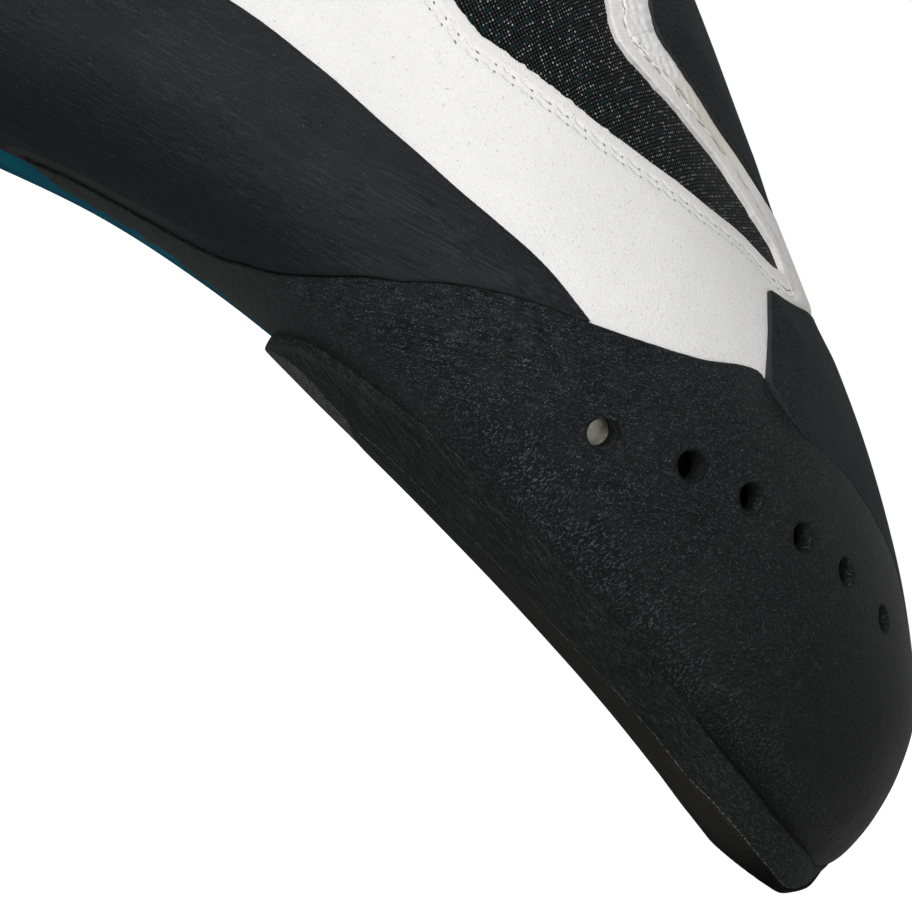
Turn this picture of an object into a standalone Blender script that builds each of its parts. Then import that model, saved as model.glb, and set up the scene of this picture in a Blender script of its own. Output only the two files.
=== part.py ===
"""A right climbing shoe, in metres, toe to +X, sole down, outer side to -Y.

The last is a fan of slanted sections. Each section is one row of SECTIONS, and every
piece is a patch of that one surface, given a thickness along the surface's normals.
A place on the surface is (station, around): station counts rows of SECTIONS from the tip
of the toe to the collar, and around runs from 0 at the bottom to 1 at the crest,
negative on the outer side of the foot.
"""

import bpy
import numpy as np
from mathutils import Matrix, Vector

MM = 0.001

# Named sizes of the last
LAST_LENGTH = 235.7 * MM
BALL_WIDTH = 82.5 * MM
INSTEP_HEIGHT = 113.0 * MM

# Thicknesses, and how far each layer lies from the outside of the upper
UPPER_WALL = 1.8 * MM
MESH_STEP = 0.5 * MM
SKIVED = 0.45 * MM
JOINT_GAP = 0.3 * MM
RAND_THICKNESS = 1.8 * MM
PATCH_THICKNESS = 1.9 * MM
MIDSOLE_THICKNESS = 3.4 * MM
OUTSOLE_THICKNESS = 3.6 * MM
OUTSOLE_EDGE = 0.4 * MM
HEEL_SOLE_THICKNESS = 3.0 * MM
INSOLE_THICKNESS = 1.4 * MM
INSOLE_CLEARANCE = 0.45 * MM
RAND_INSIDE = JOINT_GAP
RAND_OUTSIDE = RAND_INSIDE + RAND_THICKNESS
SOLE_INSIDE = RAND_OUTSIDE + JOINT_GAP
SOLE_OUTSIDE = SOLE_INSIDE + OUTSOLE_THICKNESS
HEEL_SOLE_OUTSIDE = SOLE_INSIDE + HEEL_SOLE_THICKNESS
MIDSOLE_OUTSIDE = 1.7 * MM
FLAT_SPOT_DEPTH = 0.45 * MM

# Half the gap between two neighbours, as a share of the way round
HALF_GAP = 0.0028

# How far round the soles reach: pieces below this line have closer points
UNDER_SOLE = 0.36
UNDER_HEEL_SOLE = 0.29

VENT_HOLE_DIAMETER = 4.0 * MM
VENT_HOLE_SIDES = 14

BINDING_WALL = 0.8 * MM
BINDING_DEPTH = 2.8 * MM
BINDING_CLEARANCE = 0.35 * MM
BINDING_SHOULDER = 0.5 * MM
BINDING_RISE = 1.1 * MM
PUNCH_MARGIN = 0.6 * MM

# One row per section. back and up place the bottom and the top of the section, as shares
# of LAST_LENGTH and INSTEP_HEIGHT. crest, outer and inner are shares of BALL_WIDTH: the
# ridge line's offset to the inner side, and the half widths on either side of it.
# belt is the share of the section's height at which it is widest, square is how square the
# underside is, and sag lets the sides of the collar dip below the line from front to back.
COLUMNS = (
    "bottom_back", "bottom_up", "top_back", "top_up",
    "crest", "outer", "inner", "belt", "square", "sag",
)
SECTIONS = (
    (0.006, 0.1150, 0.006, 0.1150, 0.182, 0.000, 0.000, 0.50, 2.0, 0.000),
    (0.0085, 0.081, 0.0065, 0.153, 0.188, 0.067, 0.055, 0.49, 2.0, 0.000),
    (0.0175, 0.057, 0.0112, 0.207, 0.188, 0.152, 0.115, 0.47, 2.1, 0.000),
    (0.038, 0.053, 0.0235, 0.270, 0.182, 0.248, 0.182, 0.43, 2.3, 0.000),
    (0.076, 0.071, 0.051, 0.336, 0.176, 0.358, 0.242, 0.38, 2.5, 0.000),
    (0.123, 0.093, 0.091, 0.4115, 0.164, 0.455, 0.297, 0.34, 2.6, 0.000),
    (0.182, 0.1185, 0.1485, 0.500, 0.145, 0.545, 0.339, 0.30, 2.7, 0.000),
    (0.250, 0.1415, 0.2185, 0.5885, 0.121, 0.594, 0.376, 0.28, 2.7, 0.000),
    (0.327, 0.160, 0.297, 0.686, 0.097, 0.606, 0.394, 0.27, 2.7, 0.000),
    (0.4115, 0.170, 0.3755, 0.7875, 0.073, 0.576, 0.388, 0.26, 2.6, 0.000),
    (0.5005, 0.170, 0.4455, 0.872, 0.055, 0.521, 0.364, 0.25, 2.5, 0.000),
    (0.594, 0.152, 0.490, 0.920, 0.042, 0.467, 0.352, 0.24, 2.4, 0.000),
    (0.6915, 0.107, 0.5215, 0.949, 0.030, 0.424, 0.352, 0.23, 2.3, 0.000),
    (0.785, 0.061, 0.545, 0.968, 0.018, 0.394, 0.358, 0.22, 2.3, 0.000),
    (0.870, 0.0415, 0.563, 0.981, 0.012, 0.376, 0.364, 0.22, 2.3, 0.012),
    (0.942, 0.054, 0.577, 0.990, 0.006, 0.370, 0.364, 0.23, 2.3, 0.030),
    (0.988, 0.114, 0.588, 0.997, 0.000, 0.370, 0.364, 0.26, 2.2, 0.058),
    (1.010, 0.219, 0.597, 1.003, 0.000, 0.364, 0.358, 0.31, 2.1, 0.088),
    (1.012, 0.363, 0.605, 1.008, 0.000, 0.352, 0.352, 0.38, 2.0, 0.116),
    (1.001, 0.504, 0.612, 1.013, 0.000, 0.339, 0.339, 0.45, 2.0, 0.142),
    (0.984, 0.628, 0.619, 1.018, 0.000, 0.327, 0.327, 0.50, 2.0, 0.162),
    (0.974, 0.708, 0.626, 1.023, 0.000, 0.321, 0.321, 0.52, 2.0, 0.172),
)
COLLAR = len(SECTIONS) - 1

# Edges of the pieces: a row per place, with the station and how far round the edge is.
MIDSOLE_FRONT = 2.0
MIDSOLE_REAR = 14.4
MIDSOLE_FRONT_GAP = 0.09
MIDSOLE_REAR_GAP = 0.025
MIDSOLE_EDGE = (
    (2.0, 0.060), (3.0, 0.120), (4.5, 0.150), (7.5, 0.150), (9.0, 0.122), (9.35, 0.106),
    (9.7, 0.088), (10.3, 0.090), (10.8, 0.080), (11.1, 0.095), (11.3, 0.142), (11.9, 0.146),
    (12.6, 0.125), (13.8, 0.105), (14.4, 0.060), (21.0, 0.160),
)
RAND_TAIL = 11.3
PATCH_FRONT = 4.3
PATCH_FRONT_GAP = 0.07
RAND_TOP_OUTER = (
    (4.3, 1.000), (4.9, 0.962), (5.1, 0.933), (5.6, 0.864), (6.1, 0.792), (6.4, 0.784),
    (6.55, 0.782), (6.85, 0.708), (7.15, 0.657), (7.5, 0.611), (8.0, 0.558), (8.4, 0.512),
    (8.7, 0.468), (9.0, 0.396), (9.3, 0.326), (9.5, 0.291), (9.75, 0.248), (10.1, 0.216),
    (10.6, 0.187), (11.0, 0.170), (11.3, 0.154),
)
RAND_TOP_INNER = (
    (4.3, 1.000), (4.6, 0.930), (5.1, 0.850), (6.1, 0.760), (7.15, 0.712), (7.5, 0.680),
    (8.0, 0.610), (8.4, 0.545), (8.7, 0.495), (9.0, 0.425), (9.3, 0.345), (9.6, 0.280),
    (10.1, 0.225), (10.6, 0.190), (11.0, 0.170), (11.3, 0.154),
)
TENSION_FRONT = 7.5
TENSION_REAR = 20.0
TENSION_TOP_OUTER = (
    (7.5, 0.612), (7.8, 0.604), (8.4, 0.584), (9.0, 0.570), (9.5, 0.562), (10.0, 0.559),
    (11.0, 0.562), (13.0, 0.545), (16.0, 0.515), (20.0, 0.460),
)
TENSION_TOP_INNER = (
    (7.5, 0.680), (8.4, 0.625), (9.9, 0.575), (10.9, 0.562), (13.0, 0.545), (16.0, 0.515),
    (20.0, 0.460),
)
# For the patch, turn is 0 at the crest, negative to the outer side, positive to the inner
PATCH_REAR = 10.0
PATCH_OUTER = (
    (4.3, 0.000), (4.9, -0.038), (5.1, -0.067), (5.6, -0.136), (6.1, -0.208), (6.4, -0.216),
    (6.55, -0.212), (6.85, -0.165), (6.98, -0.135), (7.0, -0.045), (7.35, -0.042),
    (7.9, -0.091), (8.6, -0.121), (8.9, -0.145), (9.1, -0.130), (9.5, -0.060), (9.7, -0.020),
    (10.0, 0.060),
)
PATCH_INNER = (
    (4.3, 0.000), (4.6, 0.070), (5.1, 0.150), (6.1, 0.240), (7.15, 0.288), (8.0, 0.295),
    (9.0, 0.265), (9.6, 0.215), (10.0, 0.140),
)
MESH_FRONT = 7.3
MESH_OUTER = (
    (7.3, 0.000), (7.36, -0.085), (7.7, -0.181), (8.15, -0.239), (8.8, -0.291),
    (9.3, -0.319), (9.8, -0.327), (12.0, -0.330), (16.0, -0.320), (21.0, -0.300),
)
MESH_INNER = (
    (7.3, 0.000), (7.6, -0.100), (8.05, -0.134), (8.6, -0.190), (8.9, -0.201),
    (9.2, -0.180), (9.8, -0.100), (10.6, 0.000), (12.0, 0.110), (16.0, 0.180), (21.0, 0.200),
)
SOLE_FRONT = 1.45
SOLE_REAR = 9.35
SOLE_JOINT_OUTER = (
    (1.45, 0.000), (1.6, 0.130), (2.0, 0.262), (2.4, 0.298), (3.0, 0.330), (3.65, 0.350),
    (4.6, 0.356), (5.6, 0.362), (6.4, 0.370), (7.4, 0.379), (7.9, 0.323), (8.5, 0.281),
    (8.85, 0.246), (9.2, 0.155), (9.35, 0.050),
)
SOLE_JOINT_INNER = (
    (1.45, 0.000), (1.6, 0.130), (2.0, 0.262), (2.4, 0.298), (3.0, 0.330), (3.65, 0.350),
    (4.6, 0.356), (5.6, 0.360), (6.4, 0.358), (7.4, 0.345), (7.9, 0.315), (8.5, 0.276),
    (8.85, 0.242), (9.2, 0.150), (9.35, 0.050),
)
SOLE_EDGE_SHARE = (
    (1.45, 0.30), (1.6, 0.36), (2.0, 0.43), (2.4, 0.57), (3.0, 0.70), (3.65, 0.70),
    (4.3, 0.64), (4.9, 0.56), (5.6, 0.50), (6.4, 0.46), (7.4, 0.46), (7.9, 0.58),
    (8.5, 0.73), (8.85, 0.84), (9.35, 0.88),
)
SOLE_DEPTH_SHARE = (
    (1.45, 0.12), (1.6, 0.42), (2.0, 0.85), (2.4, 1.0), (4.3, 0.98), (5.6, 0.94), (7.4, 0.93),
    (8.0, 0.88), (8.7, 0.74), (9.2, 0.50), (9.35, 0.40),
)
HEEL_SOLE_FRONT = 12.6
HEEL_SOLE_REAR = 16.3
HEEL_SOLE_EDGE = (
    (12.6, 0.215), (12.9, 0.240), (13.2, 0.255), (14.0, 0.270), (15.0, 0.262),
    (15.7, 0.232), (16.0, 0.200), (16.3, 0.140),
)
INSOLE_FRONT = 2.4
INSOLE_REAR = 15.2
INSOLE_EDGE = (
    (2.4, 0.060), (3.0, 0.150), (4.5, 0.235), (7.0, 0.250), (9.5, 0.215), (12.0, 0.190),
    (13.5, 0.200), (14.6, 0.170), (15.2, 0.060),
)
VENT_HOLES = (
    (6.86, 0.553), (6.29, 0.617), (5.84, 0.666), (5.36, 0.714), (4.91, 0.774), (4.30, 0.845),
)

# Each piece's colour, and how rough it is
FINISHES = {
    "upper": ((0.82, 0.81, 0.78), 0.85),
    "midsole": ((0.004, 0.085, 0.120), 0.55),
    "toe_rand": ((0.012, 0.013, 0.014), 0.70),
    "heel_rand": ((0.013, 0.015, 0.017), 0.50),
    "toe_patch": ((0.012, 0.014, 0.016), 0.55),
    "outsole_front": ((0.012, 0.013, 0.014), 0.65),
    "outsole_heel": ((0.012, 0.013, 0.014), 0.65),
    "insole": ((0.35, 0.31, 0.25), 0.90),
    "collar_binding": ((0.015, 0.016, 0.017), 0.80),
}
SHARP_ANGLE = 0.6

# The stations at which every piece has a row of points, so that neighbours match
STATIONS = (
    0.0, 0.5, 1.0, 1.45, 1.6, 2.0, 2.4, 3.0, 3.65, 4.3, 4.6, 4.9, 5.1, 5.6, 6.1, 6.4, 6.55,
    6.85, 6.98, 7.0, 7.15, 7.3, 7.5, 7.9, 8.4, 8.85, 9.2, 9.35, 9.7, 10.0, 10.6, 11.3, 11.9,
    12.6, 13.2, 13.8, 14.4, 15.2, 15.7, 16.0, 16.3, 17.2, 18.2, 19.2, 20.0, 21.0,
)


def smooth_rows(table, where):
    """Values of the table's columns at a place counted in rows, smooth from row to row."""
    rows = np.asarray(table, float)
    place = np.clip(np.asarray(where, float), 0, len(rows) - 1)
    low = np.minimum(place.astype(int), len(rows) - 2)
    t = (place - low)[..., None]
    here = rows[low]
    there = rows[low + 1]
    before = np.where((low > 0)[..., None], rows[np.maximum(low - 1, 0)], 2 * here - there)
    last = (low + 2 > len(rows) - 1)[..., None]
    after = np.where(last, 2 * there - here, rows[np.minimum(low + 2, len(rows) - 1)])
    rise = there - before
    bend = 2 * before - 5 * here + 4 * there - after
    twist = 3 * here - before - 3 * there + after
    return here + 0.5 * (rise * t + bend * t**2 + twist * t**3)


def edge(table, station):
    """How far round an edge is, at a station."""
    rows = np.asarray(table, float)
    return float(np.interp(station, rows[:, 0], rows[:, 1]))


def rounded(value, power):
    return np.sign(value) * np.abs(value) ** (2 / power)


def surface(station, around):
    """A point on the outside of the upper."""
    around = (np.asarray(around, float) + 1) % 2 - 1
    columns = smooth_rows(SECTIONS, station)
    row = {name: columns[..., index] for index, name in enumerate(COLUMNS)}
    turn = around * np.pi
    under = np.cos(turn) > 0
    side_power = np.where(under, row["square"], 2.0)
    half_width = np.where(around < 0, row["outer"], row["inner"])
    y = BALL_WIDTH * (row["crest"] + half_width * rounded(np.sin(turn), side_power))
    reach = np.where(under, row["belt"], 1 - row["belt"])
    share = row["belt"] - reach * rounded(np.cos(turn), side_power)
    back = row["bottom_back"] + (row["top_back"] - row["bottom_back"]) * share
    up = row["bottom_up"] + (row["top_up"] - row["bottom_up"]) * share
    up = up - row["sag"] * np.abs(np.sin(turn)) ** 1.5
    x = (0.5 - back) * LAST_LENGTH
    return np.stack([x, y, up * INSTEP_HEIGHT], axis=-1)


def normals(station, around):
    """Outward unit normals of the surface."""
    station = np.maximum(station, 0.05)
    ahead = surface(np.minimum(station + 0.03, COLLAR), around)
    behind = surface(np.maximum(station - 0.03, 0.0), around)
    right = surface(station, around + 0.006)
    left = surface(station, around - 0.006)
    across = np.cross(ahead - behind, right - left)
    size = np.linalg.norm(across, axis=-1, keepdims=True)
    return across / np.maximum(size, 1e-12)


def spread(start, stop, cells):
    return [start + (stop - start) * step / cells for step in range(cells + 1)]


def rows_between(first, last, skipped=()):
    return [s for s in STATIONS if first <= s <= last and s not in skipped]


def joined(*runs):
    """One list from several, without the value that two neighbours share."""
    line = list(runs[0])
    for run in runs[1:]:
        line.extend(run[1:])
    return line


def layer(name, stations, lines, kept, outside, inside):
    """A closed solid: the kept cells of a grid on the surface, between two levels.

    lines gives the same number of places round the foot for each station. Points that fall
    together become one, so a row can close to a point and a ring can close on itself.
    """
    around = np.array([lines(station) for station in stations])
    station = np.repeat(np.array(stations)[:, None], around.shape[1], axis=1)
    base = surface(station, around)
    facing = normals(station, around)
    high = np.vectorize(outside, otypes=[float])(station, around)
    low = np.vectorize(inside, otypes=[float])(station, around)
    found = {}
    number = np.zeros(around.shape, int)
    for place in np.ndindex(around.shape):
        key = tuple(np.round(base[place] / 1e-6).astype(int))
        number[place] = found.setdefault(key, len(found))
    count = len(found)
    sums = np.zeros((count, 8))
    for place in np.ndindex(around.shape):
        values = [*base[place], *facing[place], high[place], low[place]]
        sums[number[place]] += values
    members = np.bincount(number.ravel(), minlength=count)[:, None]
    points = sums[:, :3] / members
    outward = sums[:, 3:6]
    outward /= np.maximum(np.linalg.norm(outward, axis=1, keepdims=True), 1e-12)
    outer_points = points + outward * (sums[:, 6:7] / members)
    inner_points = points + outward * (sums[:, 7:8] / members)
    faces = []
    edges = {}
    for i in range(around.shape[0] - 1):
        for j in range(around.shape[1] - 1):
            if not kept(stations[i], stations[i + 1], j):
                continue
            corners = [number[i, j], number[i + 1, j], number[i + 1, j + 1], number[i, j + 1]]
            loop = [c for k, c in enumerate(corners) if c != corners[k - 1]]
            if len(set(loop)) < 3:
                continue
            faces.append([int(c) for c in loop])
            faces.append([int(c) + count for c in reversed(loop)])
            for k, c in enumerate(loop):
                pair = (int(loop[k - 1]), int(c))
                if pair[::-1] in edges:
                    del edges[pair[::-1]]
                else:
                    edges[pair] = True
    for start, stop in edges:
        faces.append([stop, start, start + count, stop + count])
    return solid(name, np.vstack([outer_points, inner_points]), faces)


def solid(name, points, faces, collection=None):
    mesh = bpy.data.meshes.new(name)
    mesh.from_pydata([tuple(point) for point in points], [], faces)
    mesh.validate()
    mesh.shade_smooth()
    mesh.set_sharp_from_angle(angle=SHARP_ANGLE)
    mesh.update()
    made = bpy.data.objects.new(name, mesh)
    (collection or shoe_collection).objects.link(made)
    if name in FINISHES:
        made.data.materials.append(finish(name, *FINISHES[name]))
    return made


def finish(name, colour, roughness):
    material = bpy.data.materials.new(name)
    material.use_nodes = True
    shader = material.node_tree.nodes["Principled BSDF"]
    shader.inputs["Base Color"].default_value = (*colour, 1.0)
    shader.inputs["Roughness"].default_value = roughness
    shader.inputs["Metallic"].default_value = 0.0
    return material


def new_collection(name):
    made = bpy.data.collections.new(name)
    bpy.context.scene.collection.children.link(made)
    return made


def lift_to_floor(sole, floor):
    """Points below the floor are lifted to it, which gives the sole its flat spot."""
    for vertex in sole.data.vertices:
        vertex.co.z = max(vertex.co.z, floor)
    sole.data.update()


def upper_lines(station):
    """Places round the upper, from the sole's outer edge over the inner side and the crest."""
    sole = edge(MIDSOLE_EDGE, station) + HALF_GAP
    inner = edge(MESH_INNER, station)
    outer = edge(MESH_OUTER, station)
    lip = 0.006 if station > MESH_FRONT else 0.0
    return joined(
        spread(-sole, sole, 4),
        spread(sole, 1 - inner, 11),
        spread(1 - inner, 1 - inner + lip, 1),
        spread(1 - inner + lip, 1 - outer - lip, 5),
        spread(1 - outer - lip, 1 - outer, 1),
        spread(1 - outer, 2 - sole, 10),
    )


def under_rubber(station, around):
    """Whether the upper is well inside the area that a rand or the toe patch covers."""
    turn = 1 - around
    inward = turn > 0
    rand_top = RAND_TOP_INNER if inward else RAND_TOP_OUTER
    tension_top = TENSION_TOP_INNER if inward else TENSION_TOP_OUTER
    rise = 1 - abs(turn)
    cover = edge(rand_top, station)
    if TENSION_FRONT <= station <= TENSION_REAR:
        cover = edge(tension_top, station)
    patched = (
        PATCH_FRONT < station < PATCH_REAR
        and edge(PATCH_OUTER, station) - 0.08 < turn < edge(PATCH_INNER, station) + 0.05
    )
    return patched or station < PATCH_FRONT or rise < cover - 0.03


def build_upper():
    """Hollow, open at the collar, and open underneath where the midsole closes it."""

    def kept(first, second, cell):
        return cell > 3 or second <= MIDSOLE_FRONT or first >= MIDSOLE_REAR

    def outside(station, around):
        turn = 1 - around
        low = edge(MESH_OUTER, station) + 0.004
        high = edge(MESH_INNER, station) - 0.004
        if station > MESH_FRONT and low < turn < high:
            return -MESH_STEP
        return -SKIVED if under_rubber(station, around) else 0.0

    skipped = (1.45, 1.6, 3.65, 4.6, 4.9, 5.6, 6.4, 6.55, 6.98, 7.0, 7.15, 9.35, 10.0, 15.7,
               16.0)
    return layer(
        "upper", rows_between(0.0, COLLAR, skipped), upper_lines, kept, outside, lambda s, a: -UPPER_WALL
    )


def build_midsole():
    skipped = (3.65, 4.6, 4.9, 5.1, 6.1, 6.4, 6.55, 6.98, 7.0, 7.15, 7.3, 7.9, 8.85, 9.35, 10.0)
    stations = rows_between(MIDSOLE_FRONT, MIDSOLE_REAR, skipped)
    stations[0] += MIDSOLE_FRONT_GAP
    stations[-1] -= MIDSOLE_REAR_GAP

    def lines(station):
        half = edge(MIDSOLE_EDGE, station) - HALF_GAP
        return spread(-half, half, 6)

    return layer(
        "midsole", stations, lines, lambda a, b, c: True,
        lambda s, a: MIDSOLE_OUTSIDE, lambda s, a: MIDSOLE_OUTSIDE - MIDSOLE_THICKNESS,
    )


def build_toe_rand():
    """Whole rings at the toe, then a wall on either side that tapers to a tail."""
    stations = rows_between(0.0, RAND_TAIL, (1.45, 6.98, 7.0, 7.3, 9.35, 10.0))

    def lines(station):
        sole = edge(MIDSOLE_EDGE, station) + HALF_GAP
        outer = edge(RAND_TOP_OUTER, station)
        inner = edge(RAND_TOP_INNER, station)
        if station > PATCH_FRONT:
            outer -= HALF_GAP
            inner -= HALF_GAP
        outer_mid = min(UNDER_SOLE, sole + 0.6 * (outer - sole))
        inner_mid = min(UNDER_SOLE, sole + 0.6 * (inner - sole))
        return joined(
            spread(-outer, -outer_mid, 5), spread(-outer_mid, -sole, 6),
            spread(-sole, sole, 4),
            spread(sole, inner_mid, 6), spread(inner_mid, inner, 6),
        )

    def kept(first, second, cell):
        return cell < 11 or cell > 14 or second <= MIDSOLE_FRONT

    rand = layer(
        "toe_rand", stations, lines, kept, lambda s, a: RAND_OUTSIDE, lambda s, a: RAND_INSIDE
    )
    punch = hole_punch()
    cut = rand.modifiers.new("vent_holes", "BOOLEAN")
    cut.object = punch
    cut.operation = "DIFFERENCE"
    cut.solver = "EXACT"
    return rand


def hole_punch():
    """Six short rods along the surface's normals, as one hidden cutter."""
    points = []
    faces = []
    for station, around in VENT_HOLES:
        centre = Vector(surface(np.array(station), np.array(-around)))
        axis = Vector(normals(np.array(station), np.array(-around)))
        side = axis.cross(Vector((0, 0, 1))).normalized()
        rise = side.cross(axis)
        first = len(points)
        for level in (RAND_INSIDE - PUNCH_MARGIN, RAND_OUTSIDE + PUNCH_MARGIN):
            for step in range(VENT_HOLE_SIDES):
                angle = 2 * np.pi * step / VENT_HOLE_SIDES
                arm = side * np.cos(angle) + rise * np.sin(angle)
                points.append(centre + axis * level + arm * VENT_HOLE_DIAMETER / 2)
        for step in range(VENT_HOLE_SIDES):
            after = (step + 1) % VENT_HOLE_SIDES
            low = first + step
            faces.append([low, low + VENT_HOLE_SIDES, first + after + VENT_HOLE_SIDES, first + after])
        faces.append([first + step for step in range(VENT_HOLE_SIDES)])
        top = first + VENT_HOLE_SIDES
        faces.append([top + step for step in reversed(range(VENT_HOLE_SIDES))])
    punch = solid("vent_hole_punch", points, faces, cutter_collection)
    punch.hide_render = True
    punch.display_type = "WIRE"
    return punch


def build_heel_rand():
    """A band on either side of the foot that closes round and under the heel."""
    stations = rows_between(TENSION_FRONT, TENSION_REAR, (9.35, 10.0))

    def foot(station, rand_top):
        if station <= RAND_TAIL:
            return edge(rand_top, station)
        return edge(MIDSOLE_EDGE, station)

    def lines(station):
        outer_top = edge(TENSION_TOP_OUTER, station)
        inner_top = edge(TENSION_TOP_INNER, station)
        outer_foot = foot(station, RAND_TOP_OUTER) + HALF_GAP
        inner_foot = foot(station, RAND_TOP_INNER) + HALF_GAP
        outer_top = max(outer_top, outer_foot)
        inner_top = max(inner_top, inner_foot)
        low = UNDER_HEEL_SOLE if station > RAND_TAIL else UNDER_SOLE
        outer_mid = max(low, outer_foot + 0.4 * (outer_top - outer_foot))
        inner_mid = max(low, inner_foot + 0.4 * (inner_top - inner_foot))
        return joined(
            spread(-outer_top, -outer_mid, 4), spread(-outer_mid, -outer_foot, 5),
            spread(-outer_foot, inner_foot, 4),
            spread(inner_foot, inner_mid, 5), spread(inner_mid, inner_top, 4),
        )

    def kept(first, second, cell):
        return cell < 9 or cell > 12 or first >= MIDSOLE_REAR

    return layer(
        "heel_rand", stations, lines, kept, lambda s, a: RAND_OUTSIDE, lambda s, a: RAND_INSIDE
    )


def build_toe_patch():
    stations = rows_between(PATCH_FRONT, PATCH_REAR, (7.15, 7.5, 9.35))
    stations[0] += PATCH_FRONT_GAP

    def lines(station):
        gap = HALF_GAP if station > PATCH_FRONT else 0.0
        outer = edge(PATCH_OUTER, station) + gap
        inner = edge(PATCH_INNER, station) - gap
        return [1 - turn for turn in spread(inner, outer, 8)]

    return layer(
        "toe_patch", stations, lines, lambda a, b, c: True,
        lambda s, a: RAND_INSIDE + PATCH_THICKNESS, lambda s, a: RAND_INSIDE,
    )


def build_outsole_front():
    """Thick under the foot, with a side ground down to the rand and a skived rear end."""
    skipped = (4.6, 4.9, 6.1, 6.55, 6.98, 7.0, 7.15, 7.3)
    stations = rows_between(SOLE_FRONT, SOLE_REAR, skipped)

    def bottom_edges(station):
        share = edge(SOLE_EDGE_SHARE, station)
        outer = edge(SOLE_JOINT_OUTER, station)
        inner = edge(SOLE_JOINT_INNER, station)
        return outer, outer * share, inner * share, inner

    def lines(station):
        outer, outer_edge, inner_edge, inner = bottom_edges(station)
        return joined(
            spread(-outer, -outer_edge, 5), spread(-outer_edge, inner_edge, 10),
            spread(inner_edge, inner, 5),
        )

    def outside(station, around):
        outer, outer_edge, inner_edge, inner = bottom_edges(station)
        joint, corner = (outer, outer_edge) if around < 0 else (inner, inner_edge)
        share = 1.0
        if abs(around) > corner + 1e-9:
            share = (joint - abs(around)) / (joint - corner)
        full = OUTSOLE_THICKNESS * edge(SOLE_DEPTH_SHARE, station)
        return SOLE_INSIDE + OUTSOLE_EDGE + (full - OUTSOLE_EDGE) * share

    return layer(
        "outsole_front", stations, lines, lambda a, b, c: True, outside,
        lambda s, a: SOLE_INSIDE,
    )


def build_outsole_heel():
    stations = rows_between(HEEL_SOLE_FRONT, HEEL_SOLE_REAR)

    def lines(station):
        half = edge(HEEL_SOLE_EDGE, station)
        rim = 0.86 * half
        middle = 0.4 * half
        return joined(
            spread(-half, -rim, 1), spread(-rim, -middle, 4), spread(-middle, middle, 3),
            spread(middle, rim, 4), spread(rim, half, 1),
        )

    def outside(station, around):
        half = edge(HEEL_SOLE_EDGE, station)
        skived = min(1.0, 0.35 + (station - HEEL_SOLE_FRONT) / 0.9)
        skived = min(skived, 0.45 + (HEEL_SOLE_REAR - station) / 0.9)
        if abs(around) > 0.9 * half:
            skived = min(skived, 0.7)
        return SOLE_INSIDE + HEEL_SOLE_THICKNESS * skived

    return layer(
        "outsole_heel", stations, lines, lambda a, b, c: True, outside,
        lambda s, a: SOLE_INSIDE,
    )


def build_insole():
    skipped = (3.65, 4.6, 4.9, 5.1, 6.1, 6.4, 6.55, 6.98, 7.0, 7.15, 7.3, 7.5, 8.4, 9.2, 9.35,
               10.0)
    stations = rows_between(INSOLE_FRONT, INSOLE_REAR, skipped)
    top = UPPER_WALL + INSOLE_CLEARANCE

    def lines(station):
        half = edge(INSOLE_EDGE, station)
        return spread(-half, half, 6)

    return layer(
        "insole", stations, lines, lambda a, b, c: True,
        lambda s, a: -top, lambda s, a: -top - INSOLE_THICKNESS,
    )


def build_collar_binding():
    """A folded tape that straddles the upper's rim."""
    around = np.array(upper_lines(COLLAR)[:-1])
    steps = len(around)
    collar = np.full(steps, float(COLLAR))
    reach = 1.0 + 1.8 * (1 - np.abs(1 - around)) ** 2
    rim = surface(collar, around)
    below = surface(collar - reach, around)
    outward = normals(collar, around)
    upward = rim - below
    upward /= np.linalg.norm(upward, axis=1, keepdims=True)
    out = BINDING_CLEARANCE
    back = -UPPER_WALL - BINDING_CLEARANCE
    profile = (
        (out, -BINDING_DEPTH),
        (out + BINDING_WALL, -BINDING_DEPTH),
        (out + BINDING_WALL, BINDING_SHOULDER),
        (out, BINDING_RISE),
        (back, BINDING_RISE),
        (back - BINDING_WALL, BINDING_SHOULDER),
        (back - BINDING_WALL, -BINDING_DEPTH),
        (back, -BINDING_DEPTH),
        (back, BINDING_CLEARANCE),
        (out, BINDING_CLEARANCE),
    )
    points = []
    for level, height in profile:
        points.extend(rim + outward * level + upward * height)
    faces = []
    for ring in range(len(profile)):
        following = (ring + 1) % len(profile)
        for step in range(steps):
            after = (step + 1) % steps
            faces.append([
                ring * steps + step, following * steps + step,
                following * steps + after, ring * steps + after,
            ])
    return solid("collar_binding", points, faces)


def lowest(made):
    return min(vertex.co.z for vertex in made.data.vertices)


def middle(pieces):
    """Halfway along and across everything."""
    points = np.array([vertex.co for piece in pieces for vertex in piece.data.vertices])
    return (points.min(axis=0) + points.max(axis=0)) / 2


for startup_object in list(bpy.data.objects):
    bpy.data.objects.remove(startup_object)
shoe_collection = new_collection("climbing_shoe")
cutter_collection = new_collection("cutters")

upper = build_upper()
midsole = build_midsole()
toe_rand = build_toe_rand()
heel_rand = build_heel_rand()
toe_patch = build_toe_patch()
outsole_front = build_outsole_front()
outsole_heel = build_outsole_heel()
insole = build_insole()
collar_binding = build_collar_binding()

floor = max(lowest(outsole_front), lowest(outsole_heel)) + FLAT_SPOT_DEPTH
lift_to_floor(outsole_front, floor)
lift_to_floor(outsole_heel, floor)
centre = middle(shoe_collection.objects)
for made in bpy.data.objects:
    made.data.transform(Matrix.Translation((-centre[0], -centre[1], -floor)))
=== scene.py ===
"""Looks for the climbing shoe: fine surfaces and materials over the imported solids.

Every piece is a patch of the last's surface, in metres, at a place (station, around):
station counts rows of SECTIONS from the toe to the collar, and around runs from 0 at the
bottom to 1 at the crest, negative on the outer side of the foot.
"""

import bmesh
import bpy
import numpy as np
from mathutils import Matrix, Vector
from mathutils.kdtree import KDTree


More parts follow.
